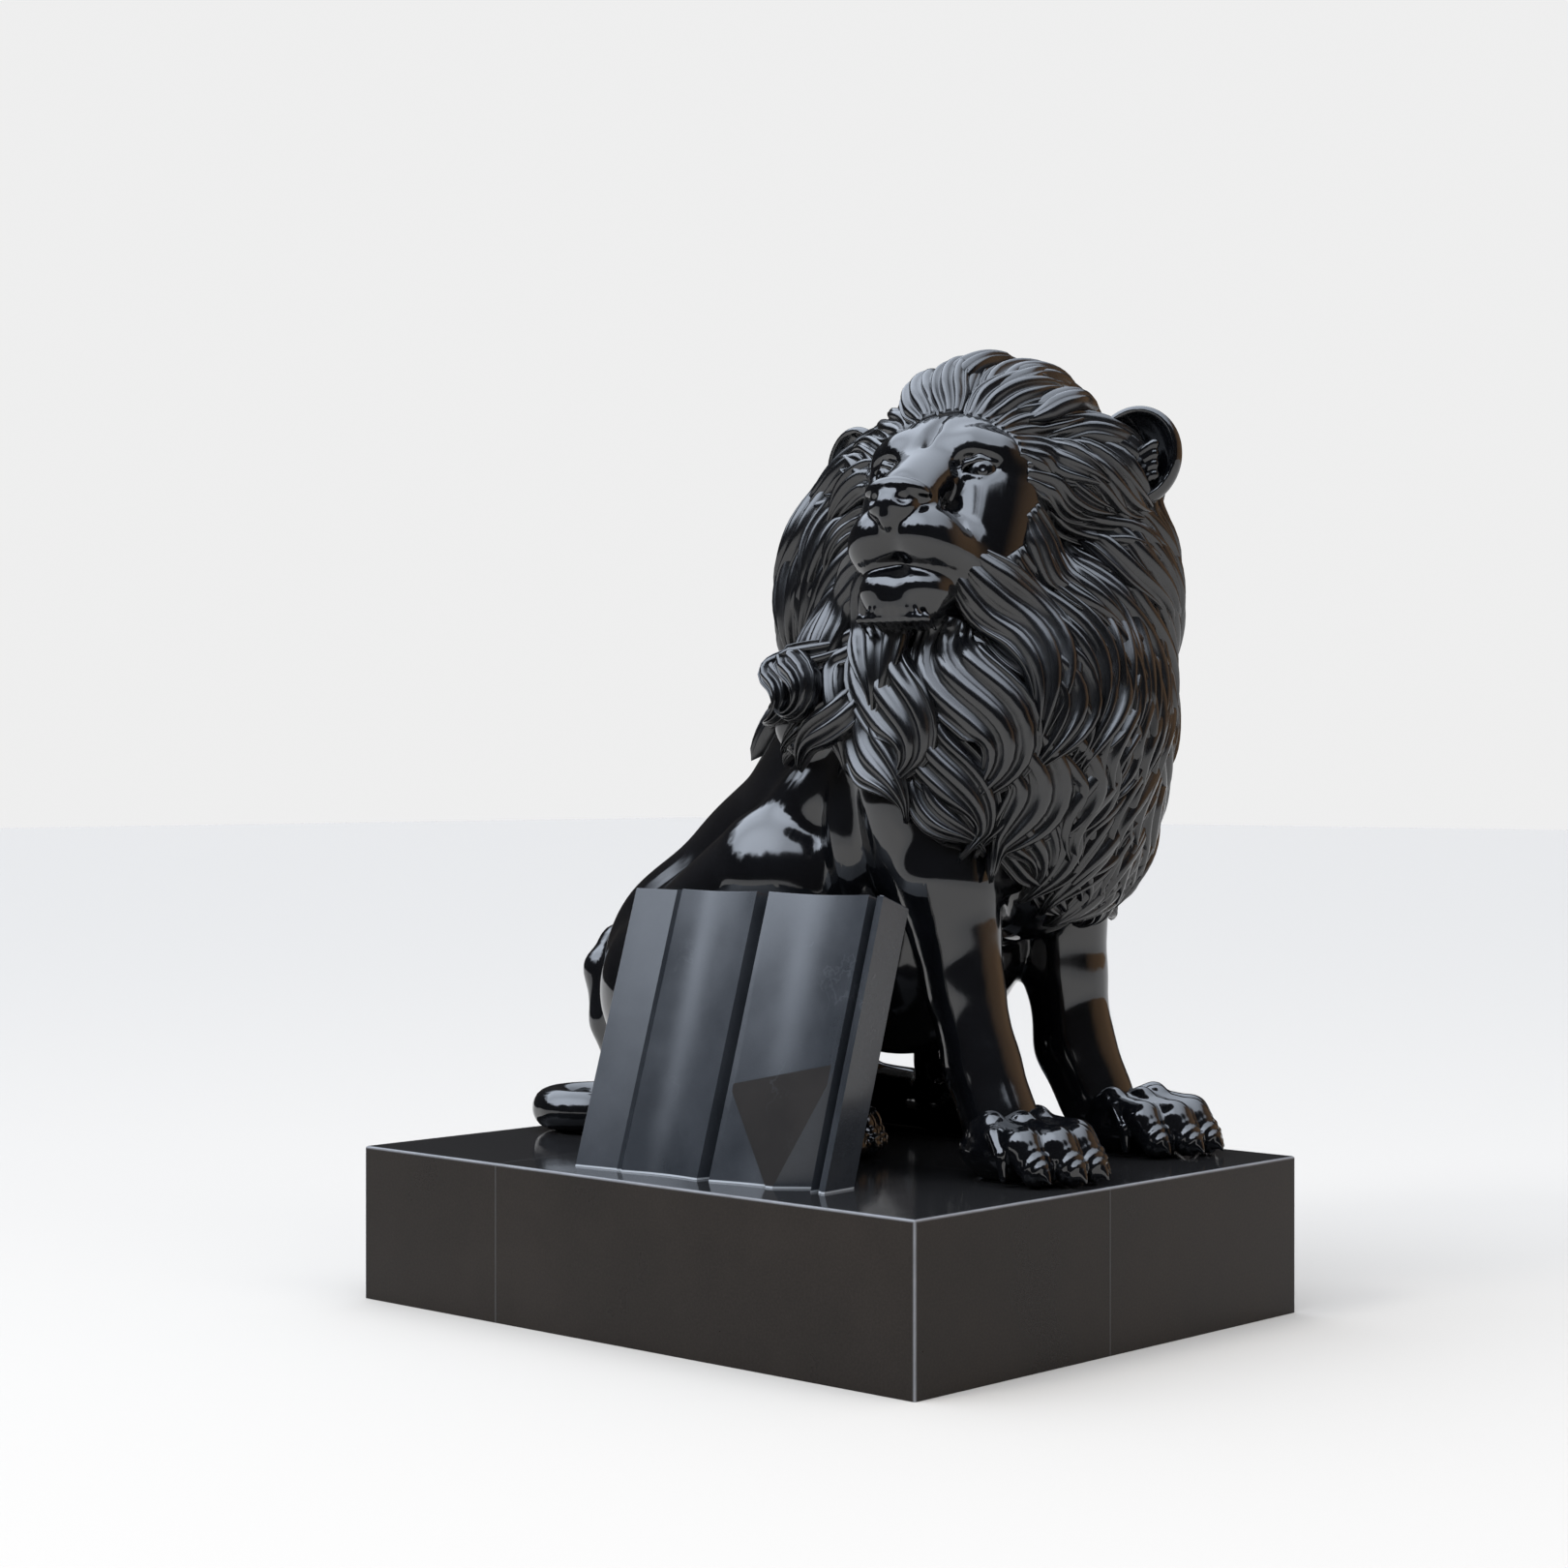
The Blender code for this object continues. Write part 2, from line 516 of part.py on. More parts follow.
def make_plinth(collection, mat):
    """Three blocks; the joints between them are hairlines."""
    x, y, z = PLINTH_WIDTH / 2, PLINTH_LENGTH / 2, PLINTH_HEIGHT
    rear = y - REAR_BLOCK_LENGTH
    joint = -x + FRONT_JOINT_FROM_RIGHT
    plinth_block("plinth_rear_block", (-x, rear, 0), (x, y, z), collection, mat)
    plinth_block("plinth_right_block", (-x, -y, 0), (joint - JOINT, rear - JOINT, z), collection, mat)
    plinth_block("plinth_left_block", (joint, -y, 0), (x, rear - JOINT, z), collection, mat)


def panel_outline():
    """Section of the slab: x along its width from the rear, y into its thickness. From the rear a flat
    with a shallow dip, a bead and a step, a hollow flute, a groove, a second flute, a groove, the arris."""

    def flute(start, end, deep, count=9):
        share = np.linspace(0, 1, count)
        depth = deep * np.sin(math.pi * share)
        return [(start + (end - start) * t, d) for t, d in zip(share, depth)]

    first_step = 0.171 * PANEL_WIDTH
    first_groove = 0.523 * PANEL_WIDTH
    last_groove = PANEL_WIDTH - 0.041
    points = [(x, STEP_DEPTH * (0.5 + 0.5 * x / first_step)) for x in np.linspace(0, first_step, 4)]
    points += [(first_step + 0.006, 0.35 * STEP_DEPTH), (first_step + 0.014, 0.8 * STEP_DEPTH)]
    points += flute(first_step + 0.026, first_groove - 0.010, 0.75 * FLUTE_DEPTH)
    points += [(first_groove, GROOVE_DEPTH), (first_groove + GROOVE_WIDTH / 2, GROOVE_DEPTH)]
    points += flute(first_groove + GROOVE_WIDTH, last_groove, FLUTE_DEPTH)
    points += [(last_groove + 0.004, GROOVE_DEPTH), (last_groove + 0.014, GROOVE_DEPTH)]
    points += [(last_groove + 0.018, 0.010), (last_groove + 0.028, 0.008), (PANEL_WIDTH - 0.008, 0.0)]
    points += [(PANEL_WIDTH, 0.004), (PANEL_WIDTH, PANEL_THICKNESS), (0, PANEL_THICKNESS)]
    return points


def wedge(name, points, collection):
    """The convex body around a few points."""
    mesh = bmesh.new()
    for point in points:
        mesh.verts.new(point)
    bmesh.ops.convex_hull(mesh, input=mesh.verts)
    bmesh.ops.recalc_face_normals(mesh, faces=mesh.faces)
    obj = bpy.data.objects.new(name, bpy.data.meshes.new(name))
    mesh.to_mesh(obj.data)
    mesh.free()
    collection.objects.link(obj)
    return obj


def boolean(obj, other, operation):
    """Adds an exact Boolean with a helper body, which is hidden."""
    cut = obj.modifiers.new(other.name, "BOOLEAN")
    cut.object = other
    cut.operation = operation
    cut.solver = "EXACT"
    other.hide_render = True
    other.display_type = "WIRE"


def make_panel(collection, cutters, mat):
    """A fluted slab, leaning back, with its foot cut level, a flat web across the lower front flute
    and a notch beside it."""
    outline = panel_outline()
    count = len(outline)
    foot = -0.12
    rows = [(x, y, foot) for x, y in outline] + [(x, y, PANEL_HEIGHT) for x, y in outline]
    faces = [list(range(count))[::-1], [count + i for i in range(count)]]
    faces += [[i, (i + 1) % count, count + (i + 1) % count, count + i] for i in range(count)]
    panel = mesh_of("fluted_panel", rows, faces)
    bpy.context.scene.collection.objects.unlink(panel)
    collection.objects.link(panel)
    bottom = cube("panel_foot_cut", (-2, -2, -1), (2, 2, PLINTH_HEIGHT + SEAT), cutters)
    left = 0.523 * PANEL_WIDTH + GROOVE_WIDTH
    right = PANEL_WIDTH - 0.041
    web = [(left, 0.002, 0.240), (right, 0.002, 0.310), (left + 0.19, 0.002, -0.02), (right, 0.002, -0.02)]
    web += [(x, y + 0.04, z) for x, y, z in web]
    notch = [(right + 0.002, -0.004, 0.315), (left + 0.185, -0.004, 0.0), (left + 0.185, -0.004, -0.08)]
    notch += [(right - 0.035, NOTCH_DEPTH, 0.0), (right - 0.035, NOTCH_DEPTH, -0.08)]
    notch += [(right + 0.004, -0.004, -0.08), (right + 0.004, -0.004, 0.0)]
    fill = wedge("panel_web", web, cutters)
    hollow = wedge("panel_notch", notch, cutters)
    back = cube("panel_seat", (-0.02, -0.02, -0.14), (PANEL_WIDTH + 0.02, PANEL_THICKNESS + SEAT, 0), cutters)
    for vertex in back.data.vertices:
        vertex.co.z = PANEL_HEIGHT + 0.02 if vertex.co.z > -0.07 else vertex.co.z
    for obj in (panel, fill, hollow, back):
        obj.location = (-PLINTH_WIDTH / 2 + PANEL_FROM_RIGHT, -PLINTH_LENGTH / 2 + PANEL_FROM_FRONT, PLINTH_HEIGHT)
        obj.rotation_euler = (-math.radians(PANEL_LEAN), 0, math.radians(PANEL_TURN))
    boolean(panel, fill, "UNION")
    boolean(panel, hollow, "DIFFERENCE")
    boolean(panel, bottom, "DIFFERENCE")
    panel.data.materials.append(mat)
    back.hide_render = True
    back.display_type = "WIRE"
    return back


def make_lion(collection, cutters, mat, panel_seat):
    """The carving: body, mane and locks as one skin, cut flat where it sits and where the panel leans."""
    clay = Clay(FIELD_LOW, FIELD_HIGH, FORM_CELL)
    model_trunk(clay)
    model_forelegs(clay)
    model_mane(clay)
    model_skull(clay)
    locks, quads, ends = lock_bodies(clay, np.random.default_rng(LOCK_SEED))
    model_hind_legs(clay)
    model_tail(clay)
    model_ears(clay)
    model_muzzle(clay)
    model_eyes(clay)
    points, triangles, squares = clay.skin()
    faces = squares.tolist() + triangles.tolist()
    faces += (quads + len(points)).tolist() + [(end + len(points)).tolist() for end in ends]
    points = np.concatenate([points, locks]) * (LION_HEIGHT / FORM_HEIGHT) + LION_ORIGIN
    lion = mesh_of("lion", points, faces)
    bpy.context.scene.collection.objects.unlink(lion)
    collection.objects.link(lion)
    skin = lion.modifiers.new("skin", "REMESH")
    skin.mode = "VOXEL"
    skin.voxel_size = SKIN_CELL
    evaluated(lion)
    outer_skin(lion)
    plain = lion.modifiers.new("plain", "DECIMATE")
    plain.ratio = LION_TRIANGLES / (2 * len(lion.data.polygons))
    keep_face_fine(lion, plain)
    evaluated(lion)
    under = cube("lion_seat_cut", (-2, -2, -1), (2, 2, PLINTH_HEIGHT + SEAT), cutters)
    boolean(lion, under, "DIFFERENCE")
    boolean(lion, panel_seat, "DIFFERENCE")
    lion.data.materials.clear()
    lion.data.materials.append(mat)
    return lion


def main():
    for obj in list(bpy.data.objects):
        bpy.data.objects.remove(obj)
    parts = bpy.data.collections.new("granite_lion_statue")
    cutters = bpy.data.collections.new("cutters")
    bpy.context.scene.collection.children.link(parts)
    bpy.context.scene.collection.children.link(cutters)
    make_plinth(parts, material("plinth_granite", (0.030, 0.026, 0.024), 0.35))
    seat = make_panel(parts, cutters, material("panel_granite", (0.060, 0.066, 0.075), 0.30))
    make_lion(parts, cutters, material("lion_granite", (0.012, 0.013, 0.016), 0.10), seat)


main()
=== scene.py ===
"""Granite lion statue, finished: a seated lion of polished black granite on a three-block plinth, with a
fluted slab leaning on its thigh. Metres, +Z up; the lion's body looks along -Y, its right side is -X."""

import math

import bmesh
import bpy
import numpy as np
import openvdb
from mathutils import Euler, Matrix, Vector


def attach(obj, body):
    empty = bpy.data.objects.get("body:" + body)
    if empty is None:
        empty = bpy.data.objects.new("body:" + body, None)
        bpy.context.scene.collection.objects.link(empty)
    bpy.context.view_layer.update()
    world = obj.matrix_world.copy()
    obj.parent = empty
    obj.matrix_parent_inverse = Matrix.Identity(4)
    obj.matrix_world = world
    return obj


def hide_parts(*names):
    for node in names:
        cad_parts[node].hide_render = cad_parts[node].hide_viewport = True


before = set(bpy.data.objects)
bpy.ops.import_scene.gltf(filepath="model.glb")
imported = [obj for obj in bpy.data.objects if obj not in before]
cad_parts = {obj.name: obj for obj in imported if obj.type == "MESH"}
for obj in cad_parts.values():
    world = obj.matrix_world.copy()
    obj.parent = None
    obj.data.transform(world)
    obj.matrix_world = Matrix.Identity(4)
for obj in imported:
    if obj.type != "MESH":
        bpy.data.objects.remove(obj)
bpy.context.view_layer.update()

# Camera
# A standing person's view from the lion's front right, with the lens of the photograph.
EYE = (-5.72808, -5.19759, 1.38100)
HEADING = 46.766
camera = bpy.data.objects.new("camera", bpy.data.cameras.new("camera"))
camera.data.sensor_width = 36
camera.data.lens = 68.41
camera.data.shift_x = 0.0082
camera.data.shift_y = -0.0071
camera.location = EYE
camera.rotation_euler = (math.pi / 2, 0, -math.radians(HEADING))
bpy.context.scene.collection.objects.link(camera)
bpy.context.scene.camera = camera


# Polished black granite
# The lion's stone is a dense black granite, ground and buffed to a mirror. Dust and a little wax stay in
# the chiselled grooves, and the hand-held buffer leaves soft waves that bend what it reflects.
PLINTH_TOP = 0.4
SEALANT = (0.33, 0.34, 0.35, 1)


class Shade:
    """A socket in a material's nodes. Arithmetic on it adds Math nodes."""

    def __init__(self, tree, socket=None):
        self.tree = tree
        self.socket = socket

    def node(self, kind, settings=None, values=None, out=0):
        """A new node: its type, settings, socket values or links, and which output."""
        made = self.tree.nodes.new("ShaderNode" + kind)
        for name, value in (settings or {}).items():
            setattr(made, name, value)
        for name, value in (values or {}).items():
            if isinstance(value, Shade):
                self.tree.links.new(value.socket, made.inputs[name])
            else:
                made.inputs[name].default_value = value
        return Shade(self.tree, made.outputs[out])

    def math(self, operation, a, b=0.0):
        return self.node("Math", {"operation": operation}, {0: a, 1: b})

    def __add__(self, other):
        return self.math("ADD", self, other)

    def __sub__(self, other):
        return self.math("SUBTRACT", self, other)

    def __rsub__(self, other):
        return self.math("SUBTRACT", other, self)

    def __mul__(self, other):
        return self.math("MULTIPLY", self, other)

    def __abs__(self):
        return self.math("ABSOLUTE", self)

    __radd__ = __add__
    __rmul__ = __mul__

    def step(self, low, high):
        """0 below low, 1 above high, an S between."""
        ends = {"From Min": low, "From Max": high}
        return self.node("MapRange", {"interpolation_type": "SMOOTHSTEP"}, {"Value": self, **ends})

    def tint(self, dark, light):
        """A colour between two, by this value."""
        return self.node("Mix", {"data_type": "RGBA"}, {"Factor": self, 6: dark, 7: light}, 2)


def new_finish(name, roughness=0.1, ior=1.5, level=0.5):
    """A material with its shader, its nodes and its object coordinates."""
    mat = bpy.data.materials.new(name)
    mat.use_nodes = True
    shader = mat.node_tree.nodes["Principled BSDF"]
    shader.inputs["Roughness"].default_value = roughness
    shader.inputs["IOR"].default_value = ior
    shader.inputs["Specular IOR Level"].default_value = level
    nodes = Shade(mat.node_tree)
    place = nodes.node("TexCoord", out="Object")
    return mat, shader, nodes, place


def noise(nodes, place, scale, detail=3.0, rough=0.5):
    """Cloudy noise from 0 to 1 at so many clouds for each metre."""
    return nodes.node("TexNoise", {}, {"Vector": place, "Scale": scale, "Detail": detail, "Roughness": rough})


def feed(shader, name, value):
    """Links a value to one of the shader's sockets."""
    shader.id_data.links.new(value.socket, shader.inputs[name])


def waves(nodes, place, scale, depth, extra=None, extra_depth=0.0):
    """A normal bent by soft waves of a depth in metres, and by a second height."""
    height = noise(nodes, place, scale, 1.0) * depth
    if extra is not None:
        height = height + extra * extra_depth
    return nodes.node("Bump", {}, {"Strength": 1.0, "Distance": 1.0, "Height": height})


def black_granite(name, grooved):
    """Mirror-polished black granite with a thin line of sealant at the plinth, and with grooved a duller
    dust in the grooves of the hair."""
    mat, shader, nodes, place = new_finish(name, ior=1.68)
    cloud = noise(nodes, place, 5.0, 4.0, 0.6)
    crystal = noise(nodes, place, 420.0, 2.0, 0.7)
    height = place.node("SeparateXYZ", {}, {"Vector": place}, 2)
    colour = (crystal.step(0.60, 0.78) * 0.6 + cloud.step(0.35, 0.7) * 0.4).tint(
        (0.0022, 0.0024, 0.0030, 1), (0.006, 0.0066, 0.0080, 1))
    rough = cloud.step(0.35, 0.75) * 0.06 + 0.07
    if grooved:
        groove = nodes.node("Attribute", {"attribute_name": "groove"}, out="Fac")
        dust = groove * noise(nodes, place, 30.0, 3.0).step(0.35, 0.65)
        colour = (dust * 0.25).tint(colour, (0.030, 0.030, 0.032, 1))
        rough = rough + 0.10 + groove * 0.14
    seal = 1 - height.step(PLINTH_TOP + 0.0030, PLINTH_TOP + 0.0050)
    colour = seal.tint(colour, SEALANT)
    rough = rough + seal * 0.4
    feed(shader, "Base Color", colour)
    feed(shader, "Roughness", rough)
    feed(shader, "Normal", waves(nodes, place, 9.0, 0.0016, crystal, 0.00001))
    return mat


polished = black_granite("lion_black_granite", False)
combed = black_granite("lion_combed_granite", True)


# Lion's body
# One block of granite, roughed out to the pose and ground smooth: rump, barrel, forelegs, folded hind
# legs, the tail's ring on the plinth and the masses that carry the mane.
LION_ORIGIN = np.array([0.24, 0.0, PLINTH_TOP])
EYES = np.array([-0.300, -0.432, 1.730])
HEAD_TURN = -80.0
HEAD_TILT = -16.0
SEAT = 0.0003
FAR = 0.5


def turn(degrees):
    """Rotation matrix of three angles in degrees, about X, then Y, then Z."""
    return np.array(Euler([math.radians(a) for a in degrees]).to_matrix())


BODY = (np.eye(3), np.zeros(3))
NECK = (turn((0, 0, HEAD_TURN)), EYES)
HEAD = (turn((0, 0, HEAD_TURN)) @ turn((HEAD_TILT, 0, 0)), EYES)
FACING = turn((0, 0, HEAD_TURN)) @ np.array([0, -1.0, 0])
ACROSS = turn((0, 0, HEAD_TURN)) @ np.array([1.0, 0, 0])
UP = np.array([0, 0, 1.0])
HUB = EYES - 0.16 * FACING - 0.09 * UP  # middle of the ruff, behind and below the eyes


def blend(a, b, k):
    """The lower of two distances, with a round fillet of width k where they meet."""
    h = np.clip(0.5 + 0.5 * (b - a) / k, 0, 1)
    return b + (a - b) * h - k * h * (1 - h)


def ease(low, high, x):
    """0 below low, 1 above high, a smooth S between: 3t^2 - 2t^3."""
    t = np.clip((x - low) / (high - low), 0, 1)
    return t * t * (3 - 2 * t)


class Clay:
    """Distances to the surface of a form on a grid of cells, built up and carved shape by shape."""

    def __init__(self, low, high, cell):
        self.low = np.array(low, np.float32)
        self.cell = cell
        self.count = np.ceil((np.array(high) - self.low) / cell).astype(int) + 1
        self.far = np.full(self.count, FAR, np.float32)
        self.frame = BODY

    def work(self, distance, low, high, k, cut):
        """Adds or cuts a shape in the cells between two corners."""
        first = np.clip(np.floor((low - self.low) / self.cell).astype(int), 0, self.count)
        last = np.clip(np.ceil((high - self.low) / self.cell).astype(int) + 1, 0, self.count)
        if (last <= first).any():
            return
        part = tuple(slice(int(a), int(b)) for a, b in zip(first, last))
        axes = [self.low[i] + self.cell * np.arange(first[i], last[i]) for i in range(3)]
        grid = np.stack(np.meshgrid(*axes, indexing="ij"), -1).astype(np.float32)
        new = distance(grid).astype(np.float32)
        if cut:
            self.far[part] = -blend(-self.far[part], new, k)
        else:
            self.far[part] = blend(self.far[part], new, k)

    def egg(self, centre, radii, tilt=(0, 0, 0), k=0.05, cut=False, pair=False):
        """An ellipsoid, and with pair its mirror image across the frame's own middle."""
        rotation, origin = self.frame
        radii = np.array(radii, np.float32)
        for side in (1, -1) if pair else (1,):
            middle = (origin + rotation @ (np.array(centre) * (side, 1, 1))).astype(np.float32)
            axes = (rotation @ turn((tilt[0], tilt[1] * side, tilt[2] * side))).astype(np.float32)

            def distance(p):
                q = (p - middle) @ axes
                k0 = np.sqrt(((q / radii) ** 2).sum(-1)) + 1e-6
                k1 = np.sqrt(((q / radii**2) ** 2).sum(-1)) + 1e-6
                return k0 * (k0 - 1) / k1

            reach = np.sqrt(((axes * radii) ** 2).sum(1)) + k + 2 * self.cell
            self.work(distance, middle - reach, middle + reach, k, cut)

    def limb(self, points, radii, k=0.03, cut=False, pair=False):
        """Round-ended cones from point to point."""
        rotation, origin = self.frame
        for side in (1, -1) if pair else (1,):
            ends = [origin + rotation @ (np.array(p) * (side, 1, 1)) for p in points]
            for a, b, ra, rb in zip(ends, ends[1:], radii, radii[1:]):
                run = (b - a).astype(np.float32)
                square = float(run @ run)
                start = a.astype(np.float32)

                def distance(p):
                    h = np.clip(((p - start) @ run) / square, 0, 1)
                    gap = p - start - h[..., None] * run
                    return np.sqrt((gap**2).sum(-1)) - (ra + (rb - ra) * h)

                reach = max(ra, rb) + k + 2 * self.cell
                self.work(distance, np.minimum(a, b) - reach, np.maximum(a, b) + reach, k, cut)

    def at(self, points):
        """Distance at any points, by trilinear interpolation."""
        q = (points - self.low) / self.cell
        i = np.clip(np.floor(q).astype(int), 0, self.count - 2)
        f = q - i
        total = 0
        for corner in np.ndindex(2, 2, 2):
            weight = np.prod(np.where(corner, f, 1 - f), axis=1)
            x, y, z = (i + corner).T
            total = total + weight * self.far[x, y, z]
        return total

    def normal(self, points, reach=0.02):
        """Unit direction in which the distance grows fastest."""
        steps = np.eye(3) * reach
        slope = np.stack([self.at(points + s) - self.at(points - s) for s in steps], 1)
        return slope / (np.linalg.norm(slope, axis=1, keepdims=True) + 1e-9)

    def settle(self, points, rounds=3):
        """Points moved onto the surface, and the surface's normals there."""
        for _ in range(rounds):
            points = points - self.normal(points) * self.at(points)[:, None]
        return points, self.normal(points)

    def buff(self, passes):
        """Rounds every crease: each distance becomes the weighted mean of its row, 1-2-1, on each axis."""
        for _ in range(passes):
            for axis in range(3):
                inner = self.far.swapaxes(0, axis)
                inner[1:-1] = (inner[:-2] + 2 * inner[1:-1] + inner[2:]) / 4

    def ripple(self, centre, reach, spacing, depth):
        """Ridges in rings round a point: adds depth*cos(2 pi r/spacing), fading out towards reach."""
        axes = [self.low[i] + self.cell * np.arange(self.count[i]) - centre[i] for i in range(3)]
        r = np.sqrt(axes[0][:, None, None] ** 2 + axes[1][None, :, None] ** 2 + axes[2][None, None, :] ** 2)
        fade = 1 - ease(0.6 * reach, reach, r)
        self.far += (depth * np.cos(2 * math.pi * r / spacing) * fade).astype(np.float32)

    def floor(self, height):
        """Cuts the form off level at a height."""
        rise = self.low[2] + self.cell * np.arange(self.count[2], dtype=np.float32)
        self.far = np.maximum(self.far, height - rise[None, None, :])

    def skin(self):
        """Points and faces of the surface."""
        grid = openvdb.FloatGrid(FAR)
        grid.copyFromArray(np.ascontiguousarray(self.far))
        points, triangles, quads = grid.convertToPolygons(isovalue=0.0, adaptivity=0.0)
        return points * self.cell + self.low, triangles, quads


def stone(name, points, quads, mat, node="lion", triangles=(), caps=(), groove=None):
    """A smooth-shaded piece from the lion's own coordinates, riding on the statue in place of the node.
    Its faces are quads, triangles and many-sided caps; groove is how deep in a groove each point lies."""
    mesh = bpy.data.meshes.new(name)
    mesh.vertices.add(len(points))
    mesh.vertices.foreach_set("co", (np.asarray(points) + LION_ORIGIN).astype(np.float32).ravel())
    loops = np.concatenate([np.ravel(quads), np.ravel(triangles)] + [np.ravel(cap) for cap in caps])
    sizes = np.concatenate([np.full(len(quads), 4), np.full(len(triangles), 3), [len(cap) for cap in caps]])
    mesh.loops.add(len(loops))
    mesh.loops.foreach_set("vertex_index", loops.astype(np.int32))
    mesh.polygons.add(len(sizes))
    mesh.polygons.foreach_set("loop_start", (np.cumsum(sizes) - sizes).astype(np.int32))
    mesh.update(calc_edges=True)
    mesh.polygons.foreach_set("use_smooth", np.ones(len(sizes), bool))
    if groove is not None:
        mesh.attributes.new("groove", "FLOAT", "POINT").data.foreach_set("value", groove.astype(np.float32))
    mesh.materials.append(mat)
    piece = bpy.data.objects.new(name, mesh)
    bpy.context.scene.collection.objects.link(piece)
    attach(piece, "root")
    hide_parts(node)


def model_trunk(clay):
    """Rump, barrel and chest of the seated body, and the low belly."""
    clay.frame = BODY
    spine = [(0, 0.50, 0.33), (0, 0.30, 0.62), (0, -0.06, 0.90), (0, -0.22, 1.10)]
    clay.limb(spine, [0.345, 0.33, 0.36, 0.35], k=0.08)
    clay.egg((0.17, 0.50, 0.42), (0.26, 0.30, 0.34), k=0.08, pair=True)
    clay.egg((0, -0.06, 0.56), (0.32, 0.33, 0.32), k=0.08)
    clay.egg((0.345, -0.01, 0.84), (0.100, 0.115, 0.24), tilt=(36, 0, 0), k=0.02, pair=True)
    clay.egg((0.335, -0.215, 0.83), (0.105, 0.085, 0.22), tilt=(-4, 0, 0), k=0.015, pair=True)
    clay.egg((-0.270, -0.38, 0.90), (0.180, 0.17, 0.30), k=0.015)
    clay.egg((0.245, -0.38, 0.90), (0.165, 0.17, 0.30), k=0.015)


def model_forelegs(clay):
    """Two straight forelegs; the right one stands further forward than the left."""
    clay.frame = BODY
    right = [(-0.29, -0.40, 0.90), (-0.30, -0.465, 0.72), (-0.30, -0.520, 0.455)]
    right += [(-0.30, -0.575, 0.268), (-0.305, -0.640, 0.13)]
    left = [(0.27, -0.36, 0.90), (0.285, -0.375, 0.72), (0.29, -0.380, 0.455)]
    left += [(0.295, -0.405, 0.268), (0.305, -0.47, 0.13)]
    clay.limb(right, [0.165, 0.138, 0.096, 0.092, 0.096], k=0.03)
    clay.limb(left, [0.15, 0.125, 0.105, 0.102, 0.100], k=0.03)


def model_hind_legs(clay):
    """Thigh up to the raised knee, shin, and the foot flat on the plinth."""
    clay.frame = BODY
    clay.limb([(-0.27, 0.42, 0.40), (-0.360, 0.03, 0.71)], [0.27, 0.195], k=0.03)
    clay.limb([(0.23, 0.42, 0.40), (0.270, 0.03, 0.69)], [0.25, 0.180], k=0.03)
    clay.limb([(-0.350, -0.035, 0.64), (-0.345, 0.02, 0.20)], [0.135, 0.11], k=0.05)
    clay.limb([(0.295, -0.020, 0.62), (0.300, 0.02, 0.20)], [0.130, 0.105], k=0.05)
    clay.limb([(0.33, 0.36, 0.085), (0.32, 0.08, 0.08)], [0.085, 0.08], k=0.03, pair=True)
    clay.egg((0.31, -0.02, 0.085), (0.125, 0.17, 0.095), k=0.03, pair=True)


def model_tail(clay):
    """The tail drops behind the right haunch and ends in a thick ring on the plinth."""
    clay.frame = BODY
    drop = [(-0.14, 0.74, 0.40), (-0.20, 0.80, 0.50), (-0.27, 0.79, 0.44)]
    drop += [(-0.295, 0.74, 0.30), (-0.27, 0.70, 0.16), (-0.30, 0.66, 0.075)]
    clay.limb(drop, [0.06, 0.058, 0.056, 0.056, 0.056, 0.06], k=0.03)
    angles = np.radians(np.linspace(-70, 250, 14))
    ring = [(-0.34 + 0.105 * math.cos(a), 0.775 + 0.105 * math.sin(a), 0.062) for a in angles]
    clay.limb(ring, np.linspace(0.060, 0.050, 14), k=0.02)


def model_mane(clay):
    """The mass under the locks: breast and shoulders, the knot of curls, neck, ruff and crown."""
    clay.frame = BODY
    clay.egg((-0.028, -0.35, 1.14), (0.422, 0.44, 0.46), k=0.06)
    clay.egg((-0.01, -0.43, 0.93), (0.35, 0.30, 0.38), k=0.06)
    clay.egg((-0.395, -0.075, 1.105), (0.075, 0.080, 0.085), k=0.03)
    clay.frame = NECK
    clay.egg((-0.125, 0.40, -0.30), (0.515, 0.295, 0.45), k=0.06)
    clay.egg((-0.03, 0.34, -0.02), (0.385, 0.26, 0.185), k=0.06)
    clay.egg((-0.02, 0.30, 0.080), (0.232, 0.25, 0.185), k=0.05)


BODY_CELL = 0.0115
body = Clay((-0.62, -1.02, -0.05), (0.62, 1.02, 2.14), BODY_CELL)
model_trunk(body)
model_forelegs(body)
model_mane(body)
trunk = Clay(body.low, body.low, BODY_CELL)
trunk.count, trunk.far = body.count, body.far.copy()
model_hind_legs(body)
model_tail(body)
body.buff(2)
body.floor(SEAT)
points, triangles, quads = body.skin()
stone("lion_body", points, quads, polished, triangles=triangles)


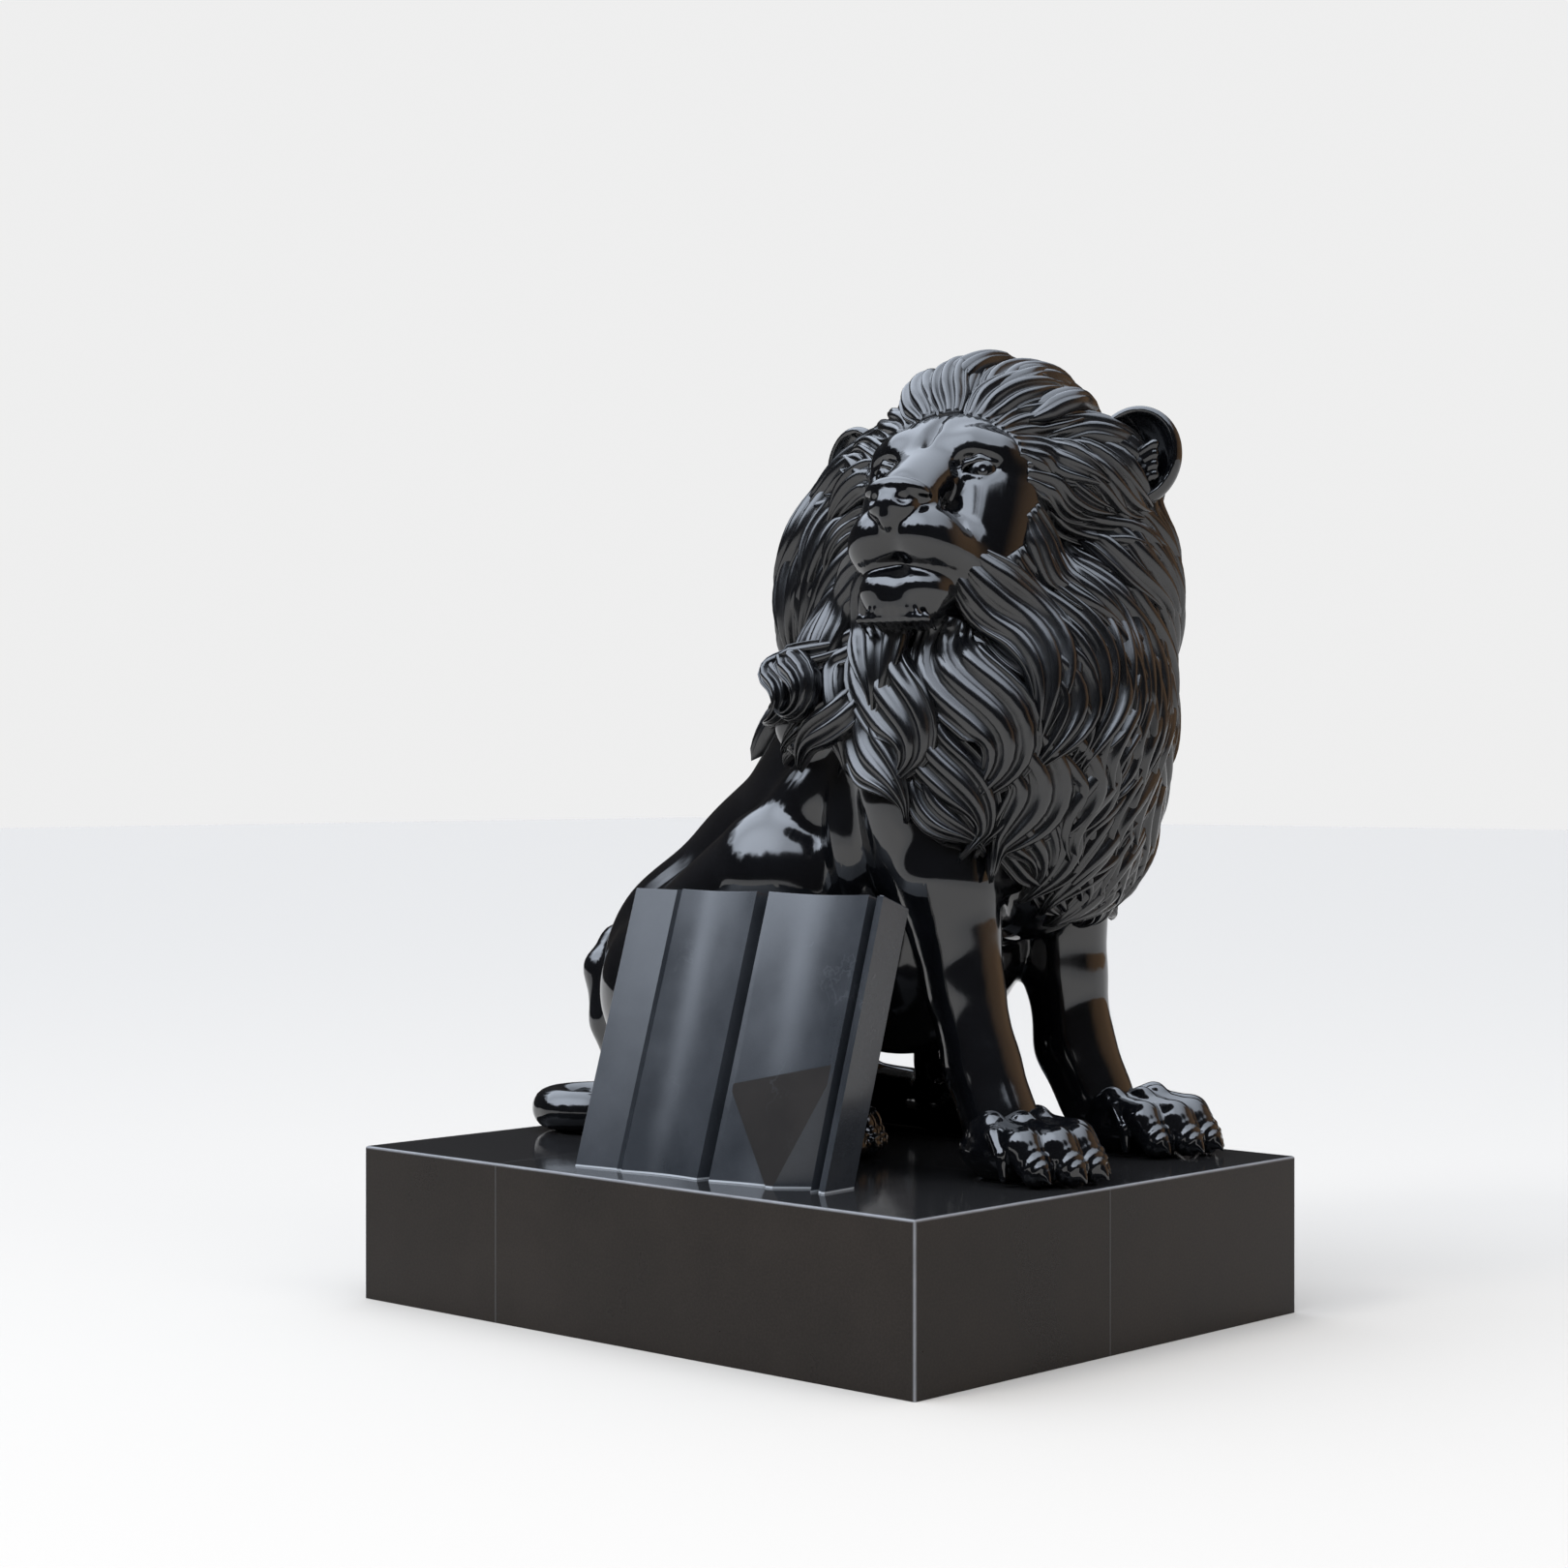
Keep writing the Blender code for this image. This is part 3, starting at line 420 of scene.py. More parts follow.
# Lion's paws
# Each foot is cut from the same block: broad, with four knuckled toes that press together, tufts between
# them and the claws drawn in.
def model_forepaw(clay, x, y):
    """A broad paw: four toes with a knuckle, a fold and a claw each, and tufts between."""
    clay.egg((x, y + 0.02, 0.07), (0.14, 0.15, 0.085), k=0.04)
    for across, ahead in ((-0.105, 0.0), (-0.038, 0.05), (0.038, 0.05), (0.105, 0.0)):
        root = (x + 0.75 * across, y + 0.06 - ahead, 0.115)
        knuckle = (x + across, y - 0.07 - ahead, 0.095)
        tip = (x + 1.05 * across, y - 0.115 - ahead, 0.045)
        clay.limb([root, knuckle, tip], [0.045, 0.047, 0.040], k=0.012)
        clay.egg((x + 0.85 * across, y + 0.035 - ahead, 0.142), (0.030, 0.036, 0.030), k=0.012)
        clay.ripple((x + 1.08 * across, y - 0.150 - ahead, 0.030), 0.085, 0.021, 0.0032)
        claw = (x + 1.08 * across, y - 0.150 - ahead, 0.040)
        point = (x + 1.12 * across, y - 0.168 - ahead, 0.012)
        clay.limb([claw, point], [0.013, 0.004], k=0.006)
    for across, ahead in ((-0.145, -0.02), (-0.072, 0.065), (0.0, 0.085), (0.072, 0.065), (0.145, -0.02)):
        tuft = [(x + 0.9 * across, y - 0.02 - ahead, 0.125), (x + across, y - 0.062 - ahead, 0.075)]
        tuft += [(x + 1.02 * across, y - 0.070 - ahead, 0.020)]
        clay.limb(tuft, [0.013, 0.017, 0.010], k=0.006)


def model_hind_foot(clay, side):
    """Four toes in front of the hind foot, with folds round each claw."""
    for across, ahead in ((-0.085, 0.0), (-0.03, 0.03), (0.03, 0.03), (0.085, 0.0)):
        x = (0.31 + across) * side
        toe = [(x, -0.04 - ahead, 0.11), (x, -0.13 - ahead, 0.085), (x, -0.165 - ahead, 0.042)]
        clay.limb(toe, [0.038, 0.040, 0.034], k=0.012)
        clay.ripple((x, -0.195 - ahead, 0.03), 0.075, 0.020, 0.0028)


PAW_CELL = 0.0046
for name, x, y in (("right_forepaw", -0.315, -0.725), ("left_forepaw", 0.325, -0.61)):
    paw = Clay((x - 0.20, y - 0.25, -0.03), (x + 0.20, y + 0.24, 0.24), PAW_CELL)
    model_forepaw(paw, x, y)
    paw.buff(1)
    paw.floor(SEAT)
    points, triangles, quads = paw.skin()
    stone(name, points, quads, polished, triangles=triangles)
for name, side in (("right_hind_toes", -1), ("left_hind_toes", 1)):
    foot = Clay((0.31 * side - 0.16, -0.27, -0.03), (0.31 * side + 0.16, 0.02, 0.20), PAW_CELL)
    model_hind_foot(foot, side)
    foot.buff(1)
    foot.floor(SEAT)
    points, triangles, quads = foot.skin()
    stone(name, points, quads, polished, triangles=triangles)


# Lion's head
# The face is carved and polished more finely than the body: flat-topped nose bridge, strong brow, lidded
# eyes, full muzzle pads over a mouth that is a little open, and a square chin.
def model_skull(clay):
    """Skull, cheeks, jaw, brow and the flat-topped bridge of the nose."""
    clay.frame = HEAD
    clay.egg((0, 0.16, 0.00), (0.225, 0.20, 0.20), k=0.03)
    clay.egg((0, 0.085, 0.070), (0.175, 0.115, 0.090), k=0.06)
    clay.egg((0.120, 0.110, -0.090), (0.115, 0.130, 0.140), k=0.10, pair=True)
    clay.egg((0.115, 0.115, -0.230), (0.110, 0.150, 0.130), k=0.10, pair=True)
    clay.egg((0, 0.08, -0.295), (0.150, 0.17, 0.115), k=0.06)
    clay.limb([(0, 0.03, 0.040), (0, -0.118, -0.092)], [0.066, 0.058], k=0.05)
    edge = [(0.036, 0.0, 0.025), (0.046, -0.118, -0.106)]
    clay.limb(edge, [0.050, 0.042], k=0.03, pair=True)
    brow = [(0.040, -0.015, 0.048), (0.100, -0.010, 0.052), (0.155, 0.022, 0.046), (0.200, 0.080, 0.030)]
    clay.limb(brow, [0.026, 0.028, 0.026, 0.022], k=0.05, pair=True)


def model_muzzle(clay):
    """Muzzle pads, lower jaw, the mouth a little open, and the nose pad."""
    clay.frame = HEAD
    clay.egg((0.056, -0.092, -0.205), (0.084, 0.092, 0.076), tilt=(12, 0, 0), k=0.035, pair=True)
    clay.egg((0.092, -0.040, -0.238), (0.074, 0.100, 0.062), k=0.05, pair=True)
    clay.egg((0.044, -0.052, -0.338), (0.080, 0.082, 0.054), k=0.03, pair=True)
    clay.egg((0, -0.045, -0.382), (0.096, 0.076, 0.046), k=0.04)
    lip = [(0, -0.185, -0.266), (0.045, -0.186, -0.286), (0.095, -0.145, -0.298)]
    lip += [(0.140, -0.080, -0.302), (0.168, -0.030, -0.292)]
    clay.limb(lip, [0.011, 0.013, 0.012, 0.010, 0.006], k=0.008, cut=True, pair=True)
    clay.limb([(0, -0.206, -0.200), (0, -0.190, -0.266)], [0.007, 0.013], k=0.016, cut=True)
    clay.egg((0, -0.160, -0.122), (0.090, 0.056, 0.034), tilt=(-20, 0, 0), k=0.006)
    clay.egg((0, -0.172, -0.156), (0.066, 0.048, 0.045), k=0.012)
    clay.egg((0, -0.170, -0.192), (0.028, 0.040, 0.032), k=0.015)
    clay.egg((0.046, -0.220, -0.150), (0.023, 0.028, 0.016), tilt=(0, 26, 0), k=0.006, cut=True, pair=True)
    nostril = [(0.066, -0.196, -0.144), (0.090, -0.145, -0.132)]
    clay.limb(nostril, [0.010, 0.004], k=0.006, cut=True, pair=True)


def model_eyes(clay):
    """Shallow sockets under the brow, with upper and lower lids."""
    clay.frame = HEAD
    clay.egg((0.130, -0.034, -0.006), (0.054, 0.030, 0.026), tilt=(0, -6, 24), k=0.02, cut=True, pair=True)
    inner = (0.082, -0.036, -0.028)
    upper = [inner, (0.104, -0.036, 0.000), (0.136, -0.028, 0.012)]
    upper += [(0.168, -0.004, 0.008), (0.216, 0.046, 0.010)]
    lower = [inner, (0.108, -0.034, -0.030), (0.142, -0.020, -0.032), (0.178, 0.006, -0.010)]
    clay.limb(upper, [0.004, 0.008, 0.009, 0.007, 0.003], k=0.006, pair=True)
    clay.limb(lower, [0.004, 0.007, 0.007, 0.004], k=0.008, pair=True)


def model_creases(clay):
    """Shallow furrows beside the nose bridge and between the brows, and the beard's ribs on the chin."""
    fold = [(0.098, -0.095, -0.110), (0.128, -0.062, -0.160), (0.152, -0.030, -0.235)]
    clay.limb(fold, [0.003, 0.005, 0.003], k=0.02, cut=True, pair=True)
    for column in np.linspace(-0.088, 0.088, 9):
        curl = [(column, -0.112, -0.400), (1.08 * column, -0.098, -0.420), (1.12 * column, -0.055, -0.436)]
        clay.limb(curl, [0.003, 0.007, 0.006], k=0.014)
    frown = [(0, -0.055, 0.040), (0, -0.045, 0.090), (0, 0.0, 0.140)]
    clay.limb(frown, [0.008, 0.008, 0.005], k=0.025, cut=True)


HEAD_CELL = 0.0046
corners = np.array([[x, y, z] for x in (-0.27, 0.27) for y in (-0.26, 0.38) for z in (-0.46, 0.22)])
corners = corners @ HEAD[0].T + EYES
head = Clay(corners.min(0), corners.max(0), HEAD_CELL)
model_skull(head)
model_muzzle(head)
model_eyes(head)
model_creases(head)
head.buff(1)
points, triangles, quads = head.skin()
stone("lion_head", points, quads, polished, triangles=triangles)


def eyeball(side, rings=40, around=64):
    """A ball whose radius dips at the rim of the iris and at the pupil: with t the angle from the line
    of sight, r = R - ring*exp(-((t - 0.40)/0.05)^2) - pupil*exp(-(t/0.17)^2)."""
    turns = np.arange(around) / around * 2 * math.pi
    t, a = np.meshgrid(np.linspace(0, math.pi, rings), turns, indexing="ij")
    radius = 0.041 - 0.0016 * np.exp(-(((t - 0.40) / 0.05) ** 2)) - 0.0034 * np.exp(-((t / 0.17) ** 2))
    ball = np.stack([np.sin(t) * np.cos(a), -np.cos(t), np.sin(t) * np.sin(a)], -1) * radius[..., None]
    look = turn((4, 0, 26 * side))
    ball = ball.reshape(-1, 3) @ look.T + (0.131 * side, 0.006, -0.009)
    i, j = np.meshgrid(np.arange(rings - 1), np.arange(around), indexing="ij")
    after = (j + 1) % around
    quads = np.stack([i * around + j, (i + 1) * around + j, (i + 1) * around + after, i * around + after], -1)
    return ball @ HEAD[0].T + EYES, quads.reshape(-1, 4)[:, ::-1]


for name, side in (("left_eyeball", 1), ("right_eyeball", -1)):
    points, quads = eyeball(side)
    stone(name, points, quads, polished)


# Lion's ears
# Two leaf-shaped cupped ears set far back on the ruff, each hollowed at the front, with a fan of four ribs
# of hair inside.
EAR_DEPTH = 0.36
EAR_HEIGHT = 0.045
EAR_REACH = 0.17


def model_ear(clay, side, across):
    """A leaf-shaped cup: an egg with a smaller egg taken out of its front, and a fan of ribs inside."""
    clay.frame = NECK
    tilt = (0, 15 * side, 20 * side)
    clay.egg((across, EAR_DEPTH, EAR_HEIGHT), (0.115, 0.055, 0.13), tilt=tilt, k=0.03)
    hollow = (across + 0.012 * side, 0.322, 0.052)
    clay.egg(hollow, (0.098, 0.070, 0.112), tilt=tilt, k=0.01, cut=True)
    for rib in range(4):
        start = (across - 0.060 * side, 0.345, 0.010 - 0.020 * rib)
        end = (across + 0.055 * side, 0.352, 0.075 - 0.026 * rib)
        clay.limb([start, end], [0.017, 0.014], k=0.004)


for name, side, across in (("left_ear", 1, 0.370), ("right_ear", -1, -0.450)):
    middle = EYES + NECK[0] @ np.array([across, EAR_DEPTH, EAR_HEIGHT])
    ear = Clay(middle - EAR_REACH, middle + EAR_REACH, PAW_CELL)
    model_ear(ear, side, across)
    ear.buff(1)
    points, triangles, quads = ear.skin()
    stone(name, points, quads, polished, triangles=triangles)


# Mane
# The locks are undercut and combed with a small chisel: each is a tapered tongue of stone with five
# ridges, and all flow out from the face, back over the crown and down the breast in long S curves.
RIDGES = 5
STEPS = 22
AROUND = 46
LOCK_SEED = 7
WAVE_LENGTH = 0.56
BREAST_TOP = 1.45
BREAST_SWAY = 0.95
CROWN_SWAY = 0.40
MANE_AXIS = -0.36
HEM_FALL = 0.85
LOWEST_ROOT = 0.66
HEM_ANGLES = (-3.15, -2.0, -1.73, -1.52, -1.3, -0.9, -0.6, 0.0, 0.8, 1.4, 2.2, 3.15)
HEM_HEIGHTS = (0.98, 1.02, 0.98, 0.86, 0.80, 0.68, 0.61, 0.57, 0.62, 0.74, 0.86, 0.98)


def cast(clay, origin, rays):
    """Points where rays from outside, run back towards their origin, meet the surface: each of 60 steps
    goes nine tenths of the distance that is left, and no more than 45 mm."""
    run = np.ones(len(rays))
    for _ in range(60):
        points = origin + rays * run[:, None]
        run = run - 0.9 * np.clip(clay.at(points), -0.02, 0.05)
    return origin + rays * run[:, None]


def hem_share(roots, lengths):
    """How much of each lock's length there is room for above the hem, from 0.2 to 1."""
    around = np.arctan2(roots[:, 0], MANE_AXIS - roots[:, 1])
    fall = (roots[:, 2] - np.interp(around, HEM_ANGLES, HEM_HEIGHTS)) / HEM_FALL
    return np.clip(fall / lengths, 0.2, 1)


def lock_roots(clay, rng):
    """Roots, lengths, widths, thicknesses and phases of the locks.
    Face rings: cones about the facing direction, at a polar angle. Breast rings: level circles,
    at a height above the plinth, from an angle on the right to one on the left of straight ahead.
    No lock hangs below the hem, whose height above the plinth changes round the body."""
    face_rings = ((66, 20, 0.34, 0.12, 0.044), (80, 18, 0.44, 0.15, 0.052), (96, 17, 0.50, 0.17, 0.056))
    face_rings += ((112, 15, 0.52, 0.18, 0.056), (130, 13, 0.50, 0.18, 0.054))
    face_rings += ((150, 9, 0.48, 0.18, 0.052), (170, 5, 0.44, 0.18, 0.050))
    breast_rings = ((1.52, 15, 0.56, 0.17, 0.052, -2.0, 2.2), (1.36, 15, 0.58, 0.19, 0.054, -1.7, 2.4))
    breast_rings += ((1.20, 13, 0.56, 0.19, 0.054, -1.5, 2.1), (1.03, 11, 0.50, 0.19, 0.052, -1.2, 1.6))
    breast_rings += ((0.88, 8, 0.38, 0.18, 0.050, -0.80, 1.1), (0.74, 6, 0.26, 0.15, 0.046, -0.5, 0.7))
    found = []
    for polar, count, length, width, thick in face_rings:
        around = (np.arange(count) + rng.uniform(-0.2, 0.2, count)) / count * 2 * math.pi
        side = np.cos(around)[:, None] * UP + np.sin(around)[:, None] * ACROSS
        rays = math.cos(math.radians(polar)) * FACING + math.sin(math.radians(polar)) * side
        lengths = length * (1 + 0.25 * (np.cos(around) < -0.2) + rng.uniform(-0.1, 0.1, count))
        widths = width * rng.uniform(0.85, 1.15, count)
        found.append((cast(clay, HUB, rays), lengths, widths, np.full(count, thick), 2 * around))
    for height, count, length, width, thick, right, left in breast_rings:
        around = np.linspace(right, left, count) + rng.uniform(-0.06, 0.06, count)
        rays = np.stack([np.sin(around), -np.cos(around), 0 * around], 1)
        lengths = length * (1 + rng.uniform(-0.12, 0.12, count))
        widths = width * rng.uniform(0.85, 1.15, count)
        roots = cast(clay, np.array([0, MANE_AXIS, height]), rays)
        found.append((roots, lengths, widths, np.full(count, thick), 2 * around))
    roots, lengths, widths, thicks, phases = [np.concatenate(column) for column in zip(*found)]
    share = hem_share(roots, lengths)
    return roots, lengths * share, widths * share**0.6, thicks * share**0.6, phases


def lock_course(points, normals, run, phase, sway):
    """Direction of the hair on the surface: out from the face, back over the crown, down with
    distance from the face, and a sideways wave along the lock."""
    away = points - HUB
    along = away @ FACING
    radial = away - along[:, None] * FACING
    distance = np.linalg.norm(radial, axis=1)
    radial = radial / (distance[:, None] + 1e-6)
    high = np.clip(radial[:, 2], 0, 1)
    outward = 1.3 * np.exp(-((distance / 0.42) ** 2))
    backward = (0.25 + 0.75 * high) * ease(-0.75, -0.15, away[:, 2])
    down = ease(0.15, 0.50, distance) * (1 - 0.8 * high) + ease(0.22, 0.50, -along)
    course = radial * outward[:, None] - FACING * backward[:, None] - UP * down[:, None]
    course = course - normals * (course * normals).sum(1, keepdims=True)
    course = course / (np.linalg.norm(course, axis=1, keepdims=True) + 1e-6)
    wave = sway * np.cos(2 * math.pi * run / WAVE_LENGTH + phase)
    course = course + np.cross(normals, course) * wave[:, None]
    course = course - normals * (course * normals).sum(1, keepdims=True)
    return course / (np.linalg.norm(course, axis=1, keepdims=True) + 1e-6)


def lock_paths(clay, roots, lengths, phases, steps):
    """Paths, outward normals and directions of locks that grow over the surface from their roots."""
    sway = np.where(roots[:, 2] < BREAST_TOP, BREAST_SWAY, CROWN_SWAY)
    points, normals = clay.settle(roots)
    stride = lengths / steps
    path, ups, ways = [], [], []
    for i in range(steps + 1):
        course = lock_course(points, normals, stride * i, phases, sway)
        path.append(points)
        ups.append(normals)
        ways.append(course)
        points, normals = clay.settle(points + course * stride[:, None], 2)
    return [np.stack(rows, 1) for rows in (path, ups, ways)]


def comb(name, path, ups, ways, widths, thicks, ridges, around):
    """Sweeps a combed section along each path. At s of the length the section is width*wide(s) across and
    thick*high(s) high, raised by thick*lift(s); it swells over the first quarter and tapers past the
    middle. Its back is a half round with grooves, 1 - 0.42*|cos(ridges*a)|^4; its underside is plain."""
    steps = path.shape[1] - 1
    across = np.cross(ups, ways)
    across /= np.linalg.norm(across, axis=-1, keepdims=True) + 1e-9
    s = np.linspace(0, 1, steps + 1)
    wide = (0.6 + 0.4 * ease(0, 0.25, s)) * (1 - 0.93 * ease(0.50, 1.0, s))
    high = (0.4 + 0.6 * ease(0, 0.3, s)) * np.sqrt(np.clip(1 - s**4, 0.0004, 1))
    lift = -0.25 + 0.8 * ease(0, 0.75, s) - 0.15 * ease(0.75, 1, s)
    top = around * 3 // 4
    under = around - top
    a = np.concatenate([np.arange(top) / top * math.pi, math.pi + np.arange(under) / under * math.pi])
    cut = np.where(np.sin(a) > 0.02, np.abs(np.cos(ridges * a)) ** 4, 0)
    rise = np.where(np.sin(a) > 0, np.abs(np.sin(a)) ** 0.8 * (1 - 0.42 * cut), 0.8 * np.sin(a))
    sideways = 0.5 * np.cos(a) * (widths[:, None] * wide)[..., None]
    upright = (thicks[:, None] * high)[..., None] * rise + (thicks[:, None] * lift)[..., None]
    rings = path[:, :, None] + across[:, :, None] * sideways[..., None] + ups[:, :, None] * upright[..., None]
    i, j = np.meshgrid(np.arange(steps), np.arange(around), indexing="ij")
    after = (j + 1) % around
    corners = (i * around + j, i * around + after, (i + 1) * around + after, (i + 1) * around + j)
    sides = np.stack(corners, -1).reshape(-1, 4)
    ends = [np.arange(around)[::-1], steps * around + np.arange(around)]
    size = (steps + 1) * around
    quads = (sides[None] + (np.arange(len(path)) * size)[:, None, None]).reshape(-1, 4)
    caps = [end + n * size for n in range(len(path)) for end in ends]
    groove = np.broadcast_to(np.maximum(cut, 1.0 * (np.sin(a) < 0.02)), rings.shape[:3])
    stone(name, rings.reshape(-1, 3), quads, combed, caps=caps, groove=groove.ravel())


model_skull(trunk)
rng = np.random.default_rng(LOCK_SEED)
roots, lengths, widths, thicks, phases = lock_roots(trunk, rng)
phases = phases + rng.uniform(-0.5, 0.5, len(roots))
path, ups, ways = lock_paths(trunk, roots, lengths, phases, STEPS)
groups = (("ruff_locks", 0, 38), ("nape_locks", 38, 70), ("crown_locks", 70, 97), ("breast_locks", 97, 127),
          ("lower_locks", 127, len(path)))
for name, first, last in groups:
    chosen = [i for i in range(first, last) if path[i, 0, 2] > LOWEST_ROOT]
    comb(name, path[chosen], ups[chosen], ways[chosen], widths[chosen], thicks[chosen], RIDGES, AROUND)


# Back of the mane
# More locks close the gaps behind both ears and on the nape, where the locks that start round the face
# part. They are combed as the others are, with fewer points round each.
BACK_SEED = 11
BACK_WIDTH = 0.19
BACK_THICKNESS = 0.046


def back_roots(clay, rng):
    """Roots, lengths and phases of the locks behind: level rings at a height above the plinth, from an
    angle behind the left ear round the back to one on the right, and two short rows over the crown."""
    back_rings = ((1.86, 13, 0.36, -5.2, -2.0), (1.74, 15, 0.40, -5.2, -1.9), (1.60, 15, 0.42, -5.2, -1.9))
    back_rings += ((1.46, 9, 0.40, -3.8, -1.9), (1.32, 9, 0.36, -3.8, -2.0))
    found = []
    for height, count, length, left, right in back_rings:
        around = np.linspace(left, right, count) + rng.uniform(-0.05, 0.05, count)
        rays = np.stack([np.sin(around), -np.cos(around), 0 * around], 1)
        roots = cast(clay, np.array([0, -0.30, height]), rays)
        found.append((roots, length * rng.uniform(0.9, 1.1, count), 2 * around))
    around = np.linspace(-1.3, 1.3, 7)
    side = np.cos(around)[:, None] * UP + np.sin(around)[:, None] * ACROSS
    for polar in (152, 166):
        rays = math.cos(math.radians(polar)) * FACING + math.sin(math.radians(polar)) * side
        found.append((cast(clay, HUB, rays), np.full(7, 0.40), 2 * around))
    return [np.concatenate(column) for column in zip(*found)]


roots, lengths, phases = back_roots(trunk, np.random.default_rng(BACK_SEED))
share = hem_share(roots, lengths)
path, ups, ways = lock_paths(trunk, roots, lengths * share, phases, STEPS)
slim = share**0.6
comb("back_locks", path, ups, ways, BACK_WIDTH * slim, BACK_THICKNESS * slim, RIDGES, AROUND * 3 // 4)


# Curls and crown tips
# A knot of hair at the mane's rear hem on the right, two hooked curls and a pointed lock, and the three
# swept tips that stand up on the crown. Each is drawn by a few points and combed as the other locks are.
def drawn(knots, steps):
    """A smooth path through a few points: even steps along them, then rounded by 1-2-1 means."""
    knots = np.array(knots)
    marks = np.concatenate([[0], np.cumsum(np.linalg.norm(np.diff(knots, axis=0), axis=1))])
    stations = np.linspace(0, marks[-1], steps + 1)
    path = np.stack([np.interp(stations, marks, knots[:, i]) for i in range(3)], 1)
    for _ in range(6):
        path[1:-1] = (path[:-2] + 2 * path[1:-1] + path[2:]) / 4
    return path


def comb_drawn(name, sets, outward, ridges, around):
    """Combs locks along drawn paths; each has knots, a width and a thickness."""
    paths = np.stack([drawn(knots, STEPS) for knots, _, _ in sets])
    ways = np.gradient(paths, axis=1)
    ways /= np.linalg.norm(ways, axis=-1, keepdims=True)
    ups = outward - ways * (ways @ outward)[..., None]
    ups /= np.linalg.norm(ups, axis=-1, keepdims=True)
    widths = np.array([width for _, width, _ in sets])
    comb(name, paths, ups, ways, widths, np.array([thick for _, _, thick in sets]), ridges, around)


def hook(y, z, radius, start, end, x, count=9):
    """Points on an arc round (y, z) of the flank, from angle to angle, that tightens by a third."""
    angles = np.radians(np.linspace(start, end, count))
    radii = radius * np.linspace(1.0, 0.66, count)
    return [(x, y + r * math.cos(a), z + r * math.sin(a)) for a, r in zip(angles, radii)]


front_curl = [(-0.40, -0.27, 1.32), (-0.455, -0.20, 1.27)] + hook(-0.125, 1.165, 0.090, 70, 330, -0.490)
rear_curl = [(-0.38, -0.05, 1.30)] + hook(0.000, 1.150, 0.080, 80, 290, -0.430)
pointed_lock = [(-0.40, -0.33, 1.22), (-0.470, -0.28, 1.12), (-0.470, -0.18, 1.060), (-0.460, -0.14, 0.985)]
shoulder = [(front_curl, 0.095, 0.055), (rear_curl, 0.085, 0.050), (pointed_lock, 0.12, 0.05)]
comb_drawn("shoulder_curls", shoulder, np.array([-0.95, -0.2, 0.25]), 4, AROUND)
crown = []
for start, middle, tip in (((-0.099, 0.10, 0.150), (-0.041, 0.20, 0.256), (0.045, 0.32, 0.300)),
                           ((0.032, 0.12, 0.175), (0.102, 0.20, 0.220), (0.168, 0.33, 0.242)),
                           ((0.162, 0.14, 0.140), (0.221, 0.24, 0.168), (0.262, 0.36, 0.160))):
    crown.append(([EYES + NECK[0] @ np.array(p) for p in (start, middle, tip)], 0.125, 0.040))
comb_drawn("crown_tips", crown, NECK[0] @ np.array([0.2, 0.1, 0.95]), RIDGES, AROUND)


# Fluted panel
# A slab sawn from a bluer granite, its face ground into shallow flutes with a satin finish. It stands on
# the plinth and leans back on the lion's thigh; a flat web crosses the front flute's foot.
PANEL_WIDTH = 0.79
PANEL_HEIGHT = 0.727
PANEL_THICKNESS = 0.113
PANEL_LEAN = 18.6
PANEL_TURN = -85.6
PANEL_CORNER = (-0.653, 0.252, PLINTH_TOP)
FIRST_STEP = 0.171 * PANEL_WIDTH
FIRST_GROOVE = 0.523 * PANEL_WIDTH
LAST_GROOVE = PANEL_WIDTH - 0.041
STEP_DEPTH = 0.012
FLUTE_DEPTH = 0.016
GROOVE_DEPTH = 0.034
GROOVE_WIDTH = 0.028
NOTCH_DEPTH = 0.060
WEB_FACE = 0.002
FOOT = -0.12


def panel_granite(name, base, light, rough, ior):
    """Satin granite with faint pale veins and fine scratches: a vein is where warped noise crosses its
    middle value, |noise - 0.5| below a hair's width."""
    mat, shader, nodes, place = new_finish(name, ior=ior)
    cloud = noise(nodes, place, 3.5, 5.0, 0.6)
    crystal = noise(nodes, place, 500.0, 2.0, 0.7)
    vein = noise(nodes, place, 1.7, 6.0, 0.62)
    line = (1 - abs(vein - 0.5).step(0.0, 0.006)) * noise(nodes, place, 4.0).step(0.45, 0.65)
    colour = (cloud.step(0.3, 0.75) * 0.6 + crystal.step(0.5, 0.75) * 0.4).tint(base, light)
    colour = (line * 0.10).tint(colour, (0.10, 0.11, 0.12, 1))
    height = place.node("SeparateXYZ", {}, {"Vector": place}, 2)
    seal = 1 - height.step(PLINTH_TOP + 0.0030, PLINTH_TOP + 0.0055)
    colour = seal.tint(colour, SEALANT)
    feed(shader, "Base Color", colour)
    feed(shader, "Roughness", cloud.step(0.3, 0.8) * 0.08 + line * 0.05 + seal * 0.3 + rough)
    feed(shader, "Normal", waves(nodes, place, 7.0, 0.0006, crystal, 0.00002))
    return mat


